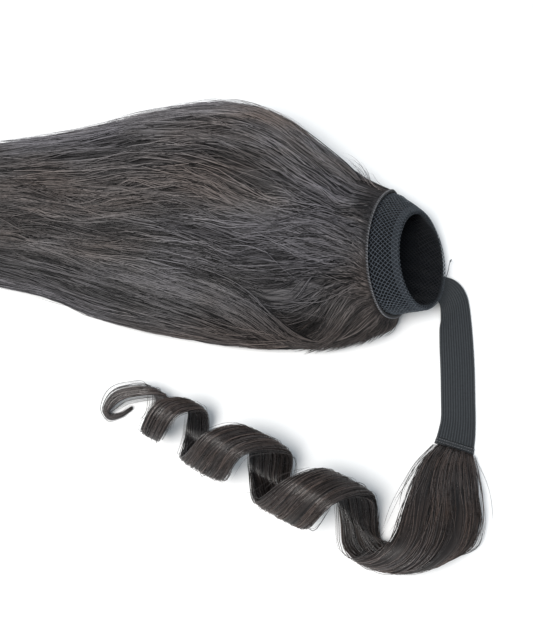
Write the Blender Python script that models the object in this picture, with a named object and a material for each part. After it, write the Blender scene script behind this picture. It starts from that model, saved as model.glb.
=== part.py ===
"""Ponytail hairpiece with a wrap-around lock, laid on a table.

A net collar with a closed pocket takes the wearer's own hair. The ponytail is sewn round the
collar's seam. A ribbed strap runs from under the collar's rim to a small weft, and the wrap lock
is sewn to that and lies as a ringlet.

All tables are in millimetres, in a layout frame: +X points away from the tail, +Y away from the
viewer, +Z up, and the table top is z = 0. One empty carries every piece and brings the middle of
the whole object's footprint to the scene's origin.
"""

import math

import bmesh
import bpy
import numpy as np

MM = 0.001

# Driving sizes
NET_WALL = 1.2
STRAP_THICKNESS = 1.6
SEWN_GAP = 0.3
SEAM_TRACK_WIDTH = 2.6
SEAM_TRACK_HEIGHT = 1.6
SEAM_TRACK_POINTS = 48
ROOT_THICKNESS = 2.6
WEFT_LENGTH = 3.4
WEFT_THICKNESS = 2.8

# The net collar
NET_COLUMNS = 40
NET_GAP_ROWS = 6
NET_STRAND = 1.0
COLLAR_COLUMNS = "x y z half_length rise drop lean skew".split()
# Rings from the pocket's end to the mouth. Rise and drop are measured up and down the leaning
# short axis, lean is that axis's angle from upright, and skew is its slope towards the viewer.
COLLAR_RINGS = (
    (30.0, 33.0, 13.5, 13.0, 6.0, 5.0, 30.0, 0.20),
    (34.0, 33.0, 13.6, 25.0, 12.5, 8.5, 32.0, 0.30),
    (48.0, 32.5, 13.8, 34.0, 19.5, 13.0, 40.0, 0.45),
    (74.5, 31.0, 14.4, 39.0, 26.0, 17.2, 48.0, 0.62),
    (79.6, 29.6, 15.2, 37.8, 26.0, 17.6, 49.0, 0.52),
    (86.2, 27.0, 16.0, 34.8, 24.4, 18.4, 50.0, 0.40),
    (90.4, 25.0, 16.6, 32.0, 21.8, 18.8, 50.5, 0.32),
)
SEAM_RING = 3
POCKET_STATIONS = (0.0, 0.45, 1.0, 1.6, 2.3)
POCKET_EASE = 0.4
POCKET_END = (28.4, 33.0, 13.8)
LIP_ROLL = ((0.8, 0.3), (1.2, 1.1), (0.8, 1.9), (-1.0, 2.3), (-3.8, 2.4))

# The ponytail
HAIR_STATIONS = 31
LOCK_RIDGE = 1.9
TIP_FRINGE = 6.0
# Relative widths of the locks round the fall, from its far edge over the top
LOCK_WIDTHS = (1.0, 0.8, 1.25, 0.9, 1.1, 0.75, 1.3, 0.85, 1.0, 1.2, 0.9, 1.1, 0.8, 1.05)
# Shares of a lock's width and the height of its ridge there
LOCK_PROFILE = ((0.0, -1.0), (0.2, 0.5), (0.5, 1.0), (0.8, 0.5))
FALL_COLUMNS = "far_x far_y near_x near_y side top lean_x lean_y".split()
# Sections from the root to the tail's end: the far and near edges in plan, the height of those
# edges, the height of the crown line, and how far the crown leans from the middle of the edges.
FALL_SECTIONS = (
    (65.5, 77.0, 69.0, -15.0, 10.5, 35.0, -17.0, -11.0),
    (55.0, 87.0, 59.0, -18.5, 10.0, 37.0, -13.0, -9.0),
    (41.0, 98.0, 45.5, -22.5, 9.5, 39.0, -8.0, -6.0),
    (15.0, 122.0, 25.5, -25.5, 9.5, 41.0, -4.0, -3.0),
    (-7.5, 133.0, 3.5, -26.5, 9.5, 41.5, 0.0, 0.0),
    (-30.0, 136.3, -20.0, -24.0, 9.5, 40.5, 0.0, 0.0),
    (-56.0, 133.0, -46.5, -19.8, 9.0, 38.5, 0.0, 0.0),
    (-81.0, 127.3, -71.5, -14.6, 9.0, 36.5, 0.0, 0.0),
    (-106.0, 118.5, -95.0, -7.6, 8.5, 34.5, 0.0, 0.0),
    (-131.0, 113.0, -118.5, 2.4, 8.0, 32.0, 0.0, 0.0),
    (-168.0, 106.8, -156.0, 13.6, 7.5, 28.5, 0.0, 0.0),
    (-205.0, 101.5, -200.0, 22.0, 6.5, 24.0, 0.0, 0.0),
    (-250.0, 95.0, -248.0, 28.0, 5.5, 19.0, 0.0, 0.0),
    (-300.0, 88.0, -300.0, 34.0, 4.2, 13.5, 0.0, 0.0),
    (-345.0, 80.0, -346.0, 39.0, 2.6, 8.0, 0.0, 0.0),
    (-374.0, 73.0, -375.0, 45.0, 1.2, 3.4, 0.0, 0.0),
)

# The strap
STRAP_POINTS_ACROSS = 5
STRAP_STATIONS = 31
STRAP_COLUMNS = "left_x left_y left_z right_x right_y right_z".split()
# Lines across the strap's underside, from its sewn end against the collar's rim to the weft
STRAP_LINES = (
    (95.0, 4.0, 5.9, 95.5, 20.6, 2.4),
    (98.0, 3.4, 5.8, 101.0, 20.6, 2.4),
    (100.2, 1.8, 4.6, 106.0, 20.0, 1.9),
    (101.0, -0.6, 3.0, 111.2, 18.4, 1.2),
    (101.2, -3.6, 1.4, 115.4, 14.6, 0.6),
    (101.0, -7.6, 0.4, 118.0, 8.6, 0.2),
    (100.0, -12.4, 0.0, 118.9, 0.0, 0.0),
    (99.0, -24.0, 0.0, 118.6, -18.0, 0.0),
    (98.2, -38.0, 0.0, 117.6, -36.0, 0.0),
    (97.0, -54.0, 0.0, 116.0, -54.0, 0.0),
    (96.0, -65.0, 0.0, 114.8, -67.0, 0.0),
    (94.2, -71.5, 0.0, 113.6, -76.0, 0.0),
    (92.6, -76.0, 0.0, 112.3, -82.5, 0.0),
)

# The wrap lock
LOCK_POINTS_ROUND = 12
LOCK_STATIONS = 72
LINE_COLUMNS = "lead_x lead_y lead_z trail_x trail_y trail_z arch thickness".split()
# Lines across the lock from the weft to where it starts to curl. The leading edge is the one that
# goes first round the ringlet, and arch is how far the middle stands out beyond both edges.
FLARE = (
    (92.2, -80.7, 1.7, 110.8, -86.8, 1.7, 0.0, 2.6),
    (83.8, -89.4, 4.5, 111.2, -95.2, 3.0, 0.5, 4.5),
    (75.1, -103.8, 9.0, 110.9, -109.1, 4.5, 2.0, 6.0),
    (68.6, -117.4, 14.0, 109.4, -124.5, 5.5, 4.0, 7.0),
    (63.7, -128.7, 18.0, 103.7, -135.0, 5.0, 5.5, 7.0),
    (58.6, -135.4, 19.0, 91.1, -140.0, 4.0, 5.5, 6.5),
    (51.5, -139.8, 15.0, 76.7, -140.6, 2.8, 4.0, 6.0),
    (43.0, -140.2, 8.0, 67.5, -136.0, 2.6, 2.5, 5.5),
    (38.6, -133.6, 3.4, 63.0, -132.0, 2.6, 1.0, 5.0),
)
RINGLET_AXIS_ANGLE = 151.5
RINGLET_COLUMNS = "turn along across radius width thickness".split()
# The ringlet by quarter turns: a whole turn is on top, the quarters after it are towards the
# viewer, on the table and away from the viewer. Along and width follow the ringlet's own axis,
# and across is that axis's distance from the layout's origin.
RINGLET = (
    (0.5, -102.5, 87.0, 14.0, 24.0, 4.8),
    (0.75, -87.5, 87.0, 14.8, 27.0, 4.4),
    (1.0, -72.0, 87.0, 14.6, 26.0, 4.2),
    (1.25, -63.5, 87.0, 14.6, 29.0, 4.2),
    (1.5, -49.0, 87.0, 14.2, 25.0, 4.0),
    (1.75, -41.0, 87.0, 14.4, 27.0, 3.8),
    (2.0, -23.0, 87.0, 14.2, 23.0, 3.6),
    (2.25, -17.0, 87.0, 13.8, 25.0, 3.4),
    (2.5, -4.0, 86.5, 12.6, 14.0, 3.2),
    (2.75, 3.0, 86.0, 12.2, 12.0, 3.0),
    (3.0, 13.4, 84.5, 12.2, 13.5, 2.8),
    (3.25, 16.5, 85.5, 12.6, 12.0, 2.6),
    (3.5, 19.0, 87.5, 10.6, 8.5, 2.4),
    (3.75, 25.0, 84.0, 8.4, 7.5, 2.0),
)
# The last loop, by lines like the flare's
TIP = (
    (-74.2, -50.5, 9.0, -74.3, -56.2, 9.0, 0.0, 1.8),
    (-82.5, -52.3, 7.5, -79.4, -57.4, 7.5, 0.0, 1.8),
    (-87.8, -57.5, 5.0, -84.5, -60.6, 5.0, 0.0, 1.7),
    (-89.2, -62.7, 2.6, -87.0, -63.0, 2.6, 0.0, 1.6),
    (-86.7, -65.7, 1.2, -85.5, -64.3, 1.2, 0.0, 1.5),
    (-80.5, -64.8, 0.9, -80.4, -63.4, 0.9, 0.0, 1.4),
    (-73.7, -60.2, 0.9, -74.3, -59.1, 0.9, 0.0, 1.2),
)


def table_of(rows, names):
    """A table's columns by name."""
    return dict(zip(names, np.array(rows, float).T))


def spline(rows, knots, at):
    """Cubic Hermite curve through rows, one for each knot, with three-point slopes."""
    rows, knots, at = np.asarray(rows, float), np.asarray(knots, float), np.asarray(at, float)
    steps = np.diff(knots)
    shape = (-1,) + (1,) * (rows.ndim - 1)
    chords = np.diff(rows, axis=0) / steps.reshape(shape)
    before, after = steps[:-1].reshape(shape), steps[1:].reshape(shape)
    inner = (chords[:-1] * after + chords[1:] * before) / (before + after)
    slopes = np.concatenate([chords[:1], inner, chords[-1:]])
    cell = np.clip(np.searchsorted(knots, at, side="right") - 1, 0, len(steps) - 1)
    width = steps[cell].reshape(shape)
    t = ((at - knots[cell]) / steps[cell]).reshape(shape)
    return (
        rows[cell] * (2 * t**3 - 3 * t**2 + 1)
        + rows[cell + 1] * (3 * t**2 - 2 * t**3)
        + slopes[cell] * width * (t**3 - 2 * t**2 + t)
        + slopes[cell + 1] * width * (t**3 - t**2)
    )


def unit(vectors):
    return vectors / np.linalg.norm(vectors, axis=-1, keepdims=True)


def lengths_along(points):
    """Distance of each point from the first, along the line through them."""
    return np.concatenate([[0.0], np.cumsum(np.linalg.norm(np.diff(points, axis=0), axis=1))])


def material(name, colour, roughness):
    made = bpy.data.materials.new(name)
    made.use_nodes = True
    shader = made.node_tree.nodes["Principled BSDF"]
    shader.inputs["Base Color"].default_value = (*colour, 1.0)
    shader.inputs["Roughness"].default_value = roughness
    shader.inputs["Metallic"].default_value = 0.0
    return made


def finished(name, mesh_maker, finish):
    """One named object from a bmesh in millimetres, smooth shaded, with its own material."""
    bmesh.ops.scale(mesh_maker, vec=(MM, MM, MM), verts=mesh_maker.verts)
    bmesh.ops.recalc_face_normals(mesh_maker, faces=mesh_maker.faces)
    mesh = bpy.data.meshes.new(name)
    mesh_maker.to_mesh(mesh)
    mesh_maker.free()
    mesh.shade_smooth()
    mesh.set_sharp_from_angle(angle=math.radians(40.0))
    mesh.materials.append(finish)
    made = bpy.data.objects.new(name, mesh)
    bpy.context.scene.collection.objects.link(made)
    return made


def with_thickness(sheet_object, thickness, offset):
    """Gives a sheet its wall. Offset 0 grows it both ways, 1 along its normals."""
    wall = sheet_object.modifiers.new("wall", "SOLIDIFY")
    wall.thickness = thickness * MM
    wall.offset = offset
    wall.use_even_offset = True
    return sheet_object


def rings_to_bmesh(rings, start=None, end=None):
    """Skins closed rings of equal length. Start and end are points that close it, or None."""
    bm = bmesh.new()
    loops = [[bm.verts.new(p) for p in ring] for ring in rings]
    for lower, upper in zip(loops, loops[1:]):
        for i in range(len(lower)):
            j = (i + 1) % len(lower)
            bm.faces.new((lower[i], lower[j], upper[j], upper[i]))
    for loop, pole in ((loops[0], start), (loops[-1], end)):
        if pole is not None:
            tip = bm.verts.new(pole)
            for i in range(len(loop)):
                bm.faces.new((loop[i], loop[(i + 1) % len(loop)], tip))
    return bm


def sheet_to_bmesh(lines):
    """Skins open lines of equal length as one sheet."""
    bm = bmesh.new()
    rows = [[bm.verts.new(p) for p in line] for line in lines]
    for lower, upper in zip(rows, rows[1:]):
        for i in range(len(lower) - 1):
            bm.faces.new((lower[i], lower[i + 1], upper[i + 1], upper[i]))
    return bm


def collar_ring(position, turns):
    """Mid-wall of the net at a fractional ring number, for angles in turns from the far side."""
    names = COLLAR_COLUMNS
    row = spline(COLLAR_RINGS, range(len(COLLAR_RINGS)), np.atleast_1d(float(position)))[0]
    ring = dict(zip(names, row))
    angle = 2 * math.pi * np.asarray(turns, float)
    up = np.sin(angle) * np.where(np.sin(angle) > 0, ring["rise"], ring["drop"])
    lean = math.radians(ring["lean"])
    return np.stack(
        [
            ring["x"] - up * math.sin(lean),
            ring["y"] + ring["half_length"] * np.cos(angle) - up * ring["skew"],
            ring["z"] + up * math.cos(lean),
        ],
        -1,
    )


def collar_outward(position, turns):
    """Outward unit normal of the net's mid-wall."""
    step = 0.02
    round_it = collar_ring(position, turns + step / 4) - collar_ring(position, turns - step / 4)
    last = len(COLLAR_RINGS) - 1
    ahead, behind = min(position + step, last), max(position - step, 0)
    along_it = collar_ring(ahead, turns) - collar_ring(behind, turns)
    return unit(np.cross(round_it, along_it))


def collar_offset(position, turns, outward, towards_mouth=0.0):
    """A ring set off from the net's mid-wall, outwards and along the wall to the mouth."""
    normal = collar_outward(position, turns)
    step = 0.02
    last = len(COLLAR_RINGS) - 1
    ahead, behind = min(position + step, last), max(position - step, 0)
    along = unit(collar_ring(ahead, turns) - collar_ring(behind, turns))
    return collar_ring(position, turns) + normal * outward + along * towards_mouth


def net_collar(finish):
    """Pocket, pierced collar and rolled mouth as one sheet of net, given its wall by Solidify."""
    turns = np.arange(NET_COLUMNS) / NET_COLUMNS
    last = len(COLLAR_RINGS) - 1
    pocket = [collar_ring(p, turns) for p in POCKET_STATIONS]
    pierced = [
        collar_ring(SEAM_RING + (last - SEAM_RING) * k / (NET_GAP_ROWS + 1), turns)
        for k in range(NET_GAP_ROWS + 2)
    ]
    roll = [collar_offset(last, turns, -inward, on) for on, inward in LIP_ROLL]
    bm = rings_to_bmesh(pocket + pierced[:1], start=POCKET_END)
    bm.verts.ensure_lookup_table()
    first = len(pocket) * NET_COLUMNS
    rows = [[bm.verts[first + i] for i in range(NET_COLUMNS)]]
    for ring in pierced[1:] + roll:
        rows.append([bm.verts.new(p) for p in ring])
    gaps = lattice(bm, rows[: len(pierced)])
    for lower, upper in zip(rows[len(pierced) - 1 :], rows[len(pierced) :]):
        for i in range(NET_COLUMNS):
            j = (i + 1) % NET_COLUMNS
            bm.faces.new((lower[i], lower[j], upper[j], upper[i]))
    bmesh.ops.recalc_face_normals(bm, faces=bm.faces)
    bmesh.ops.inset_individual(bm, faces=gaps, thickness=NET_STRAND / 2, depth=0.0)
    bmesh.ops.delete(bm, geom=gaps, context="FACES_ONLY")
    loose = [v for v in bm.verts if not v.link_faces]
    bmesh.ops.delete(bm, geom=loose, context="VERTS")
    return with_thickness(finished("net_collar", bm, finish), NET_WALL, 0.0)


def lattice(bm, rows):
    """Whole diamonds round every other crossing of the rows, and half ones along both edges."""
    diamonds = []
    last = len(rows) - 1
    for k in range(last + 1):
        for i in range(1 - k % 2, NET_COLUMNS, 2):
            left, here, right = rows[k][i - 1], rows[k][i], rows[k][(i + 1) % NET_COLUMNS]
            if 0 < k < last:
                diamonds.append(bm.faces.new((left, rows[k - 1][i], right, rows[k + 1][i])))
            else:
                beyond = rows[1][i] if k == 0 else rows[k - 1][i]
                bm.faces.new((left, here, beyond))
                bm.faces.new((here, right, beyond))
    return diamonds


def seam_track(finish):
    """The stitched band over the seam, a flat ring on the net beside the ponytail's root."""
    turns = np.arange(SEAM_TRACK_POINTS) / SEAM_TRACK_POINTS
    base = NET_WALL / 2 + SEWN_GAP
    top = base + SEAM_TRACK_HEIGHT
    edge = SEAM_TRACK_WIDTH / 2
    section = (
        (base, -edge),
        (base, edge),
        (top - 0.5, edge),
        (top, edge - 0.6),
        (top, 0.6 - edge),
        (top - 0.5, -edge),
    )
    loops = [collar_offset(SEAM_RING, turns, out, along) for out, along in section]
    return finished("seam_track", rings_to_bmesh(loops + loops[:1]), finish)


def fall_section(row, turns):
    """One section of the ponytail: a dome over a flat underside, for angles from its far edge."""
    part = dict(zip(FALL_COLUMNS, row))
    angle = 2 * math.pi * turns
    across, up = np.cos(angle), np.sin(angle)
    across = np.sign(across) * np.abs(across) ** 0.9
    crown = np.clip(up, 0, 1) ** 0.95
    under = np.clip(-up, 0, 1) ** 0.5
    x = (part["far_x"] + part["near_x"]) / 2 + (part["far_x"] - part["near_x"]) / 2 * across
    y = (part["far_y"] + part["near_y"]) / 2 + (part["far_y"] - part["near_y"]) / 2 * across
    lean = crown - 0.6 * under
    return np.stack(
        [
            x + part["lean_x"] * lean,
            y + part["lean_y"] * lean,
            part["side"] + (part["top"] - part["side"]) * crown - part["side"] * under,
        ],
        -1,
    )


def lock_columns():
    """Angle in turns, ridge height and lock number of every point round the fall."""
    edges = np.concatenate([[0.0], np.cumsum(LOCK_WIDTHS)]) / sum(LOCK_WIDTHS)
    share, height = np.array(LOCK_PROFILE).T
    turns = edges[:-1, None] + np.diff(edges)[:, None] * share
    number = np.repeat(np.arange(len(LOCK_WIDTHS)), len(share))
    return turns.ravel(), np.tile(height, len(LOCK_WIDTHS)), number


def ponytail(finish):
    """The fall of hair: a root recess round the pocket, ridged locks, and a fringed tail."""
    turns, height, number = lock_columns()
    clear = NET_WALL / 2 + SEWN_GAP
    back = -(SEAM_TRACK_WIDTH / 2 + SEWN_GAP)
    recess = [collar_offset(p, turns, clear + POCKET_EASE) for p in POCKET_STATIONS]
    root = collar_offset(SEAM_RING, turns, clear, back)
    edge = collar_offset(SEAM_RING, turns, clear + ROOT_THICKNESS, back)
    edge[:, 2] = np.maximum(edge[:, 2], 0.0)
    sections = [edge] + [fall_section(row, turns) for row in FALL_SECTIONS]
    knots = lengths_along(np.array([ring.mean(axis=0) for ring in sections]))
    share = np.linspace(0.0, 1.0, HAIR_STATIONS) ** 1.2
    rings = spline(np.array(sections), knots, share * knots[-1])
    rings[:, :, 2] = np.maximum(rings[:, :, 2], 0.0)
    outward = ring_normals(rings)
    fade = np.clip(share * 9, 0, 1) * np.clip((1 - share) * 5, 0.25, 1)
    free = np.clip(rings[:, :, 2] / 4.0, 0.0, 1.0)
    flat = 0.5 + 0.5 * np.abs(np.sin(2 * math.pi * turns))
    swell = flat * (1.0 + 0.35 * np.sin(7.0 * share[:, None] + 2.4 * number))
    rings = rings + outward * (LOCK_RIDGE * height * swell * fade[:, None] * free)[:, :, None]
    fringe = TIP_FRINGE * (height + 0.6 * np.sin(5.0 * number))
    rings[-1, :, 0] -= fringe
    rings[-2, :, 0] -= fringe * 0.4
    tip = rings[-1].mean(axis=0) + np.array([6.0, 0.0, 0.0])
    inside = np.array(POCKET_END) - np.array([clear + POCKET_EASE, 0.0, 0.0])
    bm = rings_to_bmesh(recess + [root] + list(rings), start=inside, end=tip)
    return finished("ponytail", bm, finish)


def ring_normals(rings):
    """Outward normals over a stack of rings that runs from the root to the tail."""
    round_it = np.roll(rings, -1, axis=1) - np.roll(rings, 1, axis=1)
    along_it = np.gradient(rings, axis=0)
    return unit(np.cross(along_it, round_it) + 1e-9)


def strap(finish):
    """The ribbed tape, a sheet of lines across it whose underside lies on the table."""
    at = np.linspace(0, len(STRAP_LINES) - 1, STRAP_STATIONS)
    rows = spline(STRAP_LINES, range(len(STRAP_LINES)), at)
    share = np.linspace(0, 1, STRAP_POINTS_ACROSS)[None, :, None]
    lines = rows[:, None, :3] * (1 - share) + rows[:, None, 3:] * share
    lines[:, :, 2] = np.maximum(lines[:, :, 2], 0.0)
    made = finished("strap", sheet_to_bmesh(lines), finish)
    return upwards_wall(made, STRAP_THICKNESS)


def upwards_wall(sheet_object, thickness):
    """Gives a flat-lying sheet its thickness upwards, whichever way its faces point."""
    mean_up = np.mean([p.normal.z * p.area for p in sheet_object.data.polygons])
    return with_thickness(sheet_object, thickness, 1.0 if mean_up > 0 else -1.0)


def wrap_weft(finish):
    """The folded weft at the strap's end that the wrap lock is sewn to."""
    end = dict(zip(STRAP_COLUMNS, STRAP_LINES[-1]))
    left = np.array([end["left_x"], end["left_y"], end["left_z"]])
    right = np.array([end["right_x"], end["right_y"], end["right_z"]])
    across = unit(right - left)
    down = np.array([across[1], -across[0], 0.0])
    lines = []
    for share in (0.0, 0.5, 1.0):
        middle = down * (SEWN_GAP + WEFT_LENGTH * share)
        bulge = across * (0.5 + 0.6 * share)
        lines.append(np.linspace(left + middle - bulge, right + middle + bulge, STRAP_POINTS_ACROSS))
    made = finished("wrap_weft", sheet_to_bmesh(lines), finish)
    return upwards_wall(made, WEFT_THICKNESS)


def ringlet_frame():
    """The ringlet's axis and the level direction towards the viewer, as unit vectors."""
    angle = math.radians(RINGLET_AXIS_ANGLE)
    along = np.array([math.cos(angle), math.sin(angle), 0.0])
    return along, np.array([-along[1], along[0], 0.0])


def lock_lines():
    """Leading edge, trailing edge, arch and thickness of the wrap lock at even stations."""
    along, across = ringlet_frame()
    turn = table_of(RINGLET, RINGLET_COLUMNS)
    quarter = 2 * math.pi * turn["turn"]
    hub = np.outer(turn["along"], along) + np.outer(turn["across"], across)
    hub[:, 2] = turn["radius"] + turn["thickness"] / 2
    out = np.outer(np.sin(quarter), across)
    out[:, 2] = np.cos(quarter)
    curl = hub + out * turn["radius"][:, None]
    half = np.outer(turn["width"] / 2, along)
    plain = np.stack([np.zeros(len(quarter)), turn["thickness"]], -1)
    rows = np.concatenate([FLARE, np.hstack([curl + half, curl - half, plain]), TIP])
    knots = lengths_along((rows[:, 0:3] + rows[:, 3:6]) / 2)
    even = spline(rows, knots, np.linspace(0.0, knots[-1], LOCK_STATIONS))
    return even[:, 0:3], even[:, 3:6], even[:, 6], even[:, 7]


def wrap_lock(finish):
    """The free lock: a flat band of hair that flares from the weft and winds into a ringlet."""
    lead, trail, arch, thickness = lock_lines()
    spine = (lead + trail) / 2
    side = unit(lead - trail)
    outward = unit(np.cross(side, np.gradient(spine, axis=0)))
    half_width = np.linalg.norm(lead - trail, axis=1) / 2
    turns = np.arange(LOCK_POINTS_ROUND) / LOCK_POINTS_ROUND * 2 * math.pi
    across = np.sign(np.cos(turns)) * np.abs(np.cos(turns)) ** 0.8
    rise = np.sign(np.sin(turns)) * np.abs(np.sin(turns)) ** 0.8
    out = np.outer(thickness / 2, rise) + np.outer(arch, 1 - across**2)
    rings = (
        spine[:, None]
        + side[:, None] * np.outer(half_width, across)[:, :, None]
        + outward[:, None] * out[:, :, None]
    )
    rings[:, :, 2] = np.maximum(rings[:, :, 2], 0.0)
    bm = rings_to_bmesh(rings, start=rings[0].mean(axis=0), end=rings[-1].mean(axis=0))
    return finished("wrap_lock", bm, finish)


def centre_on_origin(pieces):
    """Parents the pieces to an empty that brings the footprint's middle to the origin."""
    corners = []
    graph = bpy.context.evaluated_depsgraph_get()
    for piece in pieces:
        corners += [np.array(c) for c in piece.evaluated_get(graph).bound_box]
    low, high = np.min(corners, axis=0), np.max(corners, axis=0)
    laid_out = bpy.data.objects.new("laid_out", None)
    bpy.context.scene.collection.objects.link(laid_out)
    laid_out.location = (-(low[0] + high[0]) / 2, -(low[1] + high[1]) / 2, -low[2])
    for piece in pieces:
        piece.parent = laid_out
    return laid_out


def main():
    for old in list(bpy.data.objects):
        bpy.data.objects.remove(old)
    hair = material("dark_brown_hair", (0.075, 0.062, 0.058), 0.45)
    net = material("black_net", (0.020, 0.022, 0.026), 0.6)
    tape = material("ribbed_tape", (0.045, 0.050, 0.058), 0.8)
    thread = material("seam_thread", (0.085, 0.085, 0.088), 0.7)
    pieces = [
        net_collar(net),
        seam_track(thread),
        ponytail(hair),
        strap(tape),
        wrap_weft(thread),
        wrap_lock(hair),
    ]
    centre_on_origin(pieces)
    bpy.context.view_layer.update()


main()
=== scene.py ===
"""Looks of the ponytail hairpiece: net collar, fall of hair, ribbed strap and curled wrap lock.

Every shape is worked out with numpy in millimetres, in the layout frame of the CAD part: +X points
away from the tail, +Y away from the viewer, +Z up, and the table top is z = 0. row_shift() brings
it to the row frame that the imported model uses.

A place on the fall of hair is a share of its length, from the seam, and a turn round it: 0 at the
far edge, 0.25 on top and 0.5 at the near edge. Turns round the net's rings are counted in the same
way. Lengths are in millimetres unless a comment says otherwise.
"""

import functools
import math

import bpy
import numpy as np
from bpy.props import (
    FloatProperty,
    FloatVectorProperty,
    IntProperty,
    PointerProperty,
)
from bpy.types import Operator, Panel, PropertyGroup
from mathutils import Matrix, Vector


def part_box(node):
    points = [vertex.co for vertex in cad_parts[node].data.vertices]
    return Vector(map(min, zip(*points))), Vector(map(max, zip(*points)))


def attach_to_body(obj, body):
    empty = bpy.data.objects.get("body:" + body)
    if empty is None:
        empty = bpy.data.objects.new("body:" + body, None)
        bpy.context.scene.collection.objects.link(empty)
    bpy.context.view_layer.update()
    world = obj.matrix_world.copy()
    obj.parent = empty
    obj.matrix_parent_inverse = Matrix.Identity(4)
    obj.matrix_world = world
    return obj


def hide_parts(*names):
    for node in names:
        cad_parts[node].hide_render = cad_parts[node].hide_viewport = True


bl_info = {
    "name": "Ponytail hairpiece",
    "version": (1, 0, 0),
    "blender": (4, 5, 0),
    "location": "3D View > Sidebar > Hairpiece",
    "description": "Dresses the packed hairpiece with net, strands, ribbed tape and stitches",
    "category": "Add Mesh",
}

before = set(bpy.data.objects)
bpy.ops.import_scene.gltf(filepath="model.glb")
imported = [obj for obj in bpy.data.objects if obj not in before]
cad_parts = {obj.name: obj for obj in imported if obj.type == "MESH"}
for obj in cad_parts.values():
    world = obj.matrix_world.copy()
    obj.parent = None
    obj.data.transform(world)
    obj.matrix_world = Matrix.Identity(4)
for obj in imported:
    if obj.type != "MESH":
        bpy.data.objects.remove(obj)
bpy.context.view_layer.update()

MM = 0.001
FULL_TURN = 2 * math.pi

# The photograph's frame and the camera that took it
PHOTO_HEIGHT = 619
MM_PER_PIXEL = 0.585
CAMERA_DISTANCE = 450.0
CAMERA_ELEVATION = 66.0
SENSOR_WIDTH = 36.0
CLIP_RANGE = (0.01, 20.0)

# The light, as steps from the object in metres, and the table
LAMP_PLACE = (-0.56, -0.42, 1.08)
LAMP_SIZE = 0.9
LAMP_COLOUR = (1.0, 0.975, 0.945)
SKY_COLOUR = (0.83, 0.92, 1.0)
TABLE_REACH = 1.6
TABLE_POINTS = 21
TABLE_WAVE = 0.00004

# The net collar, as the CAD part has it
NET_WALL = 1.2
SEWN_GAP = 0.3
COLLAR_COLUMNS = "x y z half_length rise drop lean skew".split()
COLLAR_RINGS = (
    (30.0, 33.0, 13.5, 13.0, 6.0, 5.0, 30.0, 0.20),
    (34.0, 33.0, 13.6, 25.0, 12.5, 8.5, 32.0, 0.30),
    (48.0, 32.5, 13.8, 34.0, 19.5, 13.0, 40.0, 0.45),
    (74.5, 31.0, 14.4, 39.0, 26.0, 17.2, 48.0, 0.62),
    (79.6, 29.6, 15.2, 37.8, 26.0, 17.6, 49.0, 0.52),
    (86.2, 27.0, 16.0, 34.8, 24.4, 18.4, 50.0, 0.40),
    (90.4, 25.0, 16.6, 32.0, 21.8, 18.8, 50.5, 0.32),
)
SEAM_RING = 3
MOUTH_RING = 6
POCKET_STATIONS = (0.0, 0.45, 1.0, 1.6, 2.3)
POCKET_EASE = 0.4
POCKET_END = (28.4, 33.0, 13.8)
POCKET_WALL = 0.9

# The seam, as the CAD part has it: the stitched band, and the hair's root beside it
SEAM_TRACK_WIDTH = 2.6
SEAM_TRACK_HEIGHT = 1.6
ROOT_THICKNESS = 2.6
SEAM_CLEARANCE = NET_WALL / 2 + SEWN_GAP
ROOT_EDGE_AT = -(SEAM_TRACK_WIDTH / 2 + SEWN_GAP)
# Where strands start on the band: how far towards the mouth, and how far off it
SEWN_IN_AT = -0.35
SEWN_IN_LIFT = 0.05
SEAM_STATIONS = 240
BAND_POINTS = 12
BAND_SQUARENESS = 0.55
# Rows of seam stitches: reach round the seam as a share of a stitch's room, slant over the band,
# place on it and width
STITCH_ROWS = ((0.31, 0.18, 0.75, 0.62), (0.10, 0.55, 0.15, 0.34))
STITCH_POINTS = 7
STITCH_HEIGHT = 0.16
STITCH_SINK = 0.5
STITCH_JITTER = 0.12

# The yarns of the net run from the seam over the mouth's lip and back inside. Each row gives the
# ring, the step outwards from the wall and the step along it to the mouth.
YARN_STATIONS = (
    (3.0, 0.25, 0.6),
    (3.6, 0.25, 0.0),
    (4.2, 0.25, 0.0),
    (4.8, 0.25, 0.0),
    (5.4, 0.25, 0.0),
    (6.0, 0.20, 0.0),
    (6.0, -0.40, 0.9),
    (6.0, -1.20, 1.2),
    (6.0, -2.00, 0.6),
    (5.8, -2.30, 0.0),
    (5.3, -2.35, 0.0),
    (4.8, -2.20, 0.0),
    (4.2, -2.00, 0.0),
    (3.6, -1.90, 0.0),
)
LIP_STATION = 6
INSIDE_STATION = 8
YARN_ROWS = 200
YARN_POINTS = 46
YARN_FLATNESS = 0.6
CROSSING_HEIGHT = 0.16
GATHERS = 22
GATHER_DEPTH = 0.45
# The hem and the lining: reach from the lip, rows, depths under the yarns' sheet and the net's wall
HEM_REACH = (-4.8, -0.9)
HEM_ROWS = 12
HEM_DEPTHS = (0.25, 0.55)
HEM_STEP = 4
LINING_RINGS = (0.15, 0.45, 1.0, 1.6, 2.3, 3.0, 3.6, 4.2, 4.8, 5.4, 5.75)
LINING_COLUMNS = 96
LINING_ROWS = 40
LINING_DEPTHS = (0.4, 1.1)
LINING_GATHER = 0.35

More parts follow.
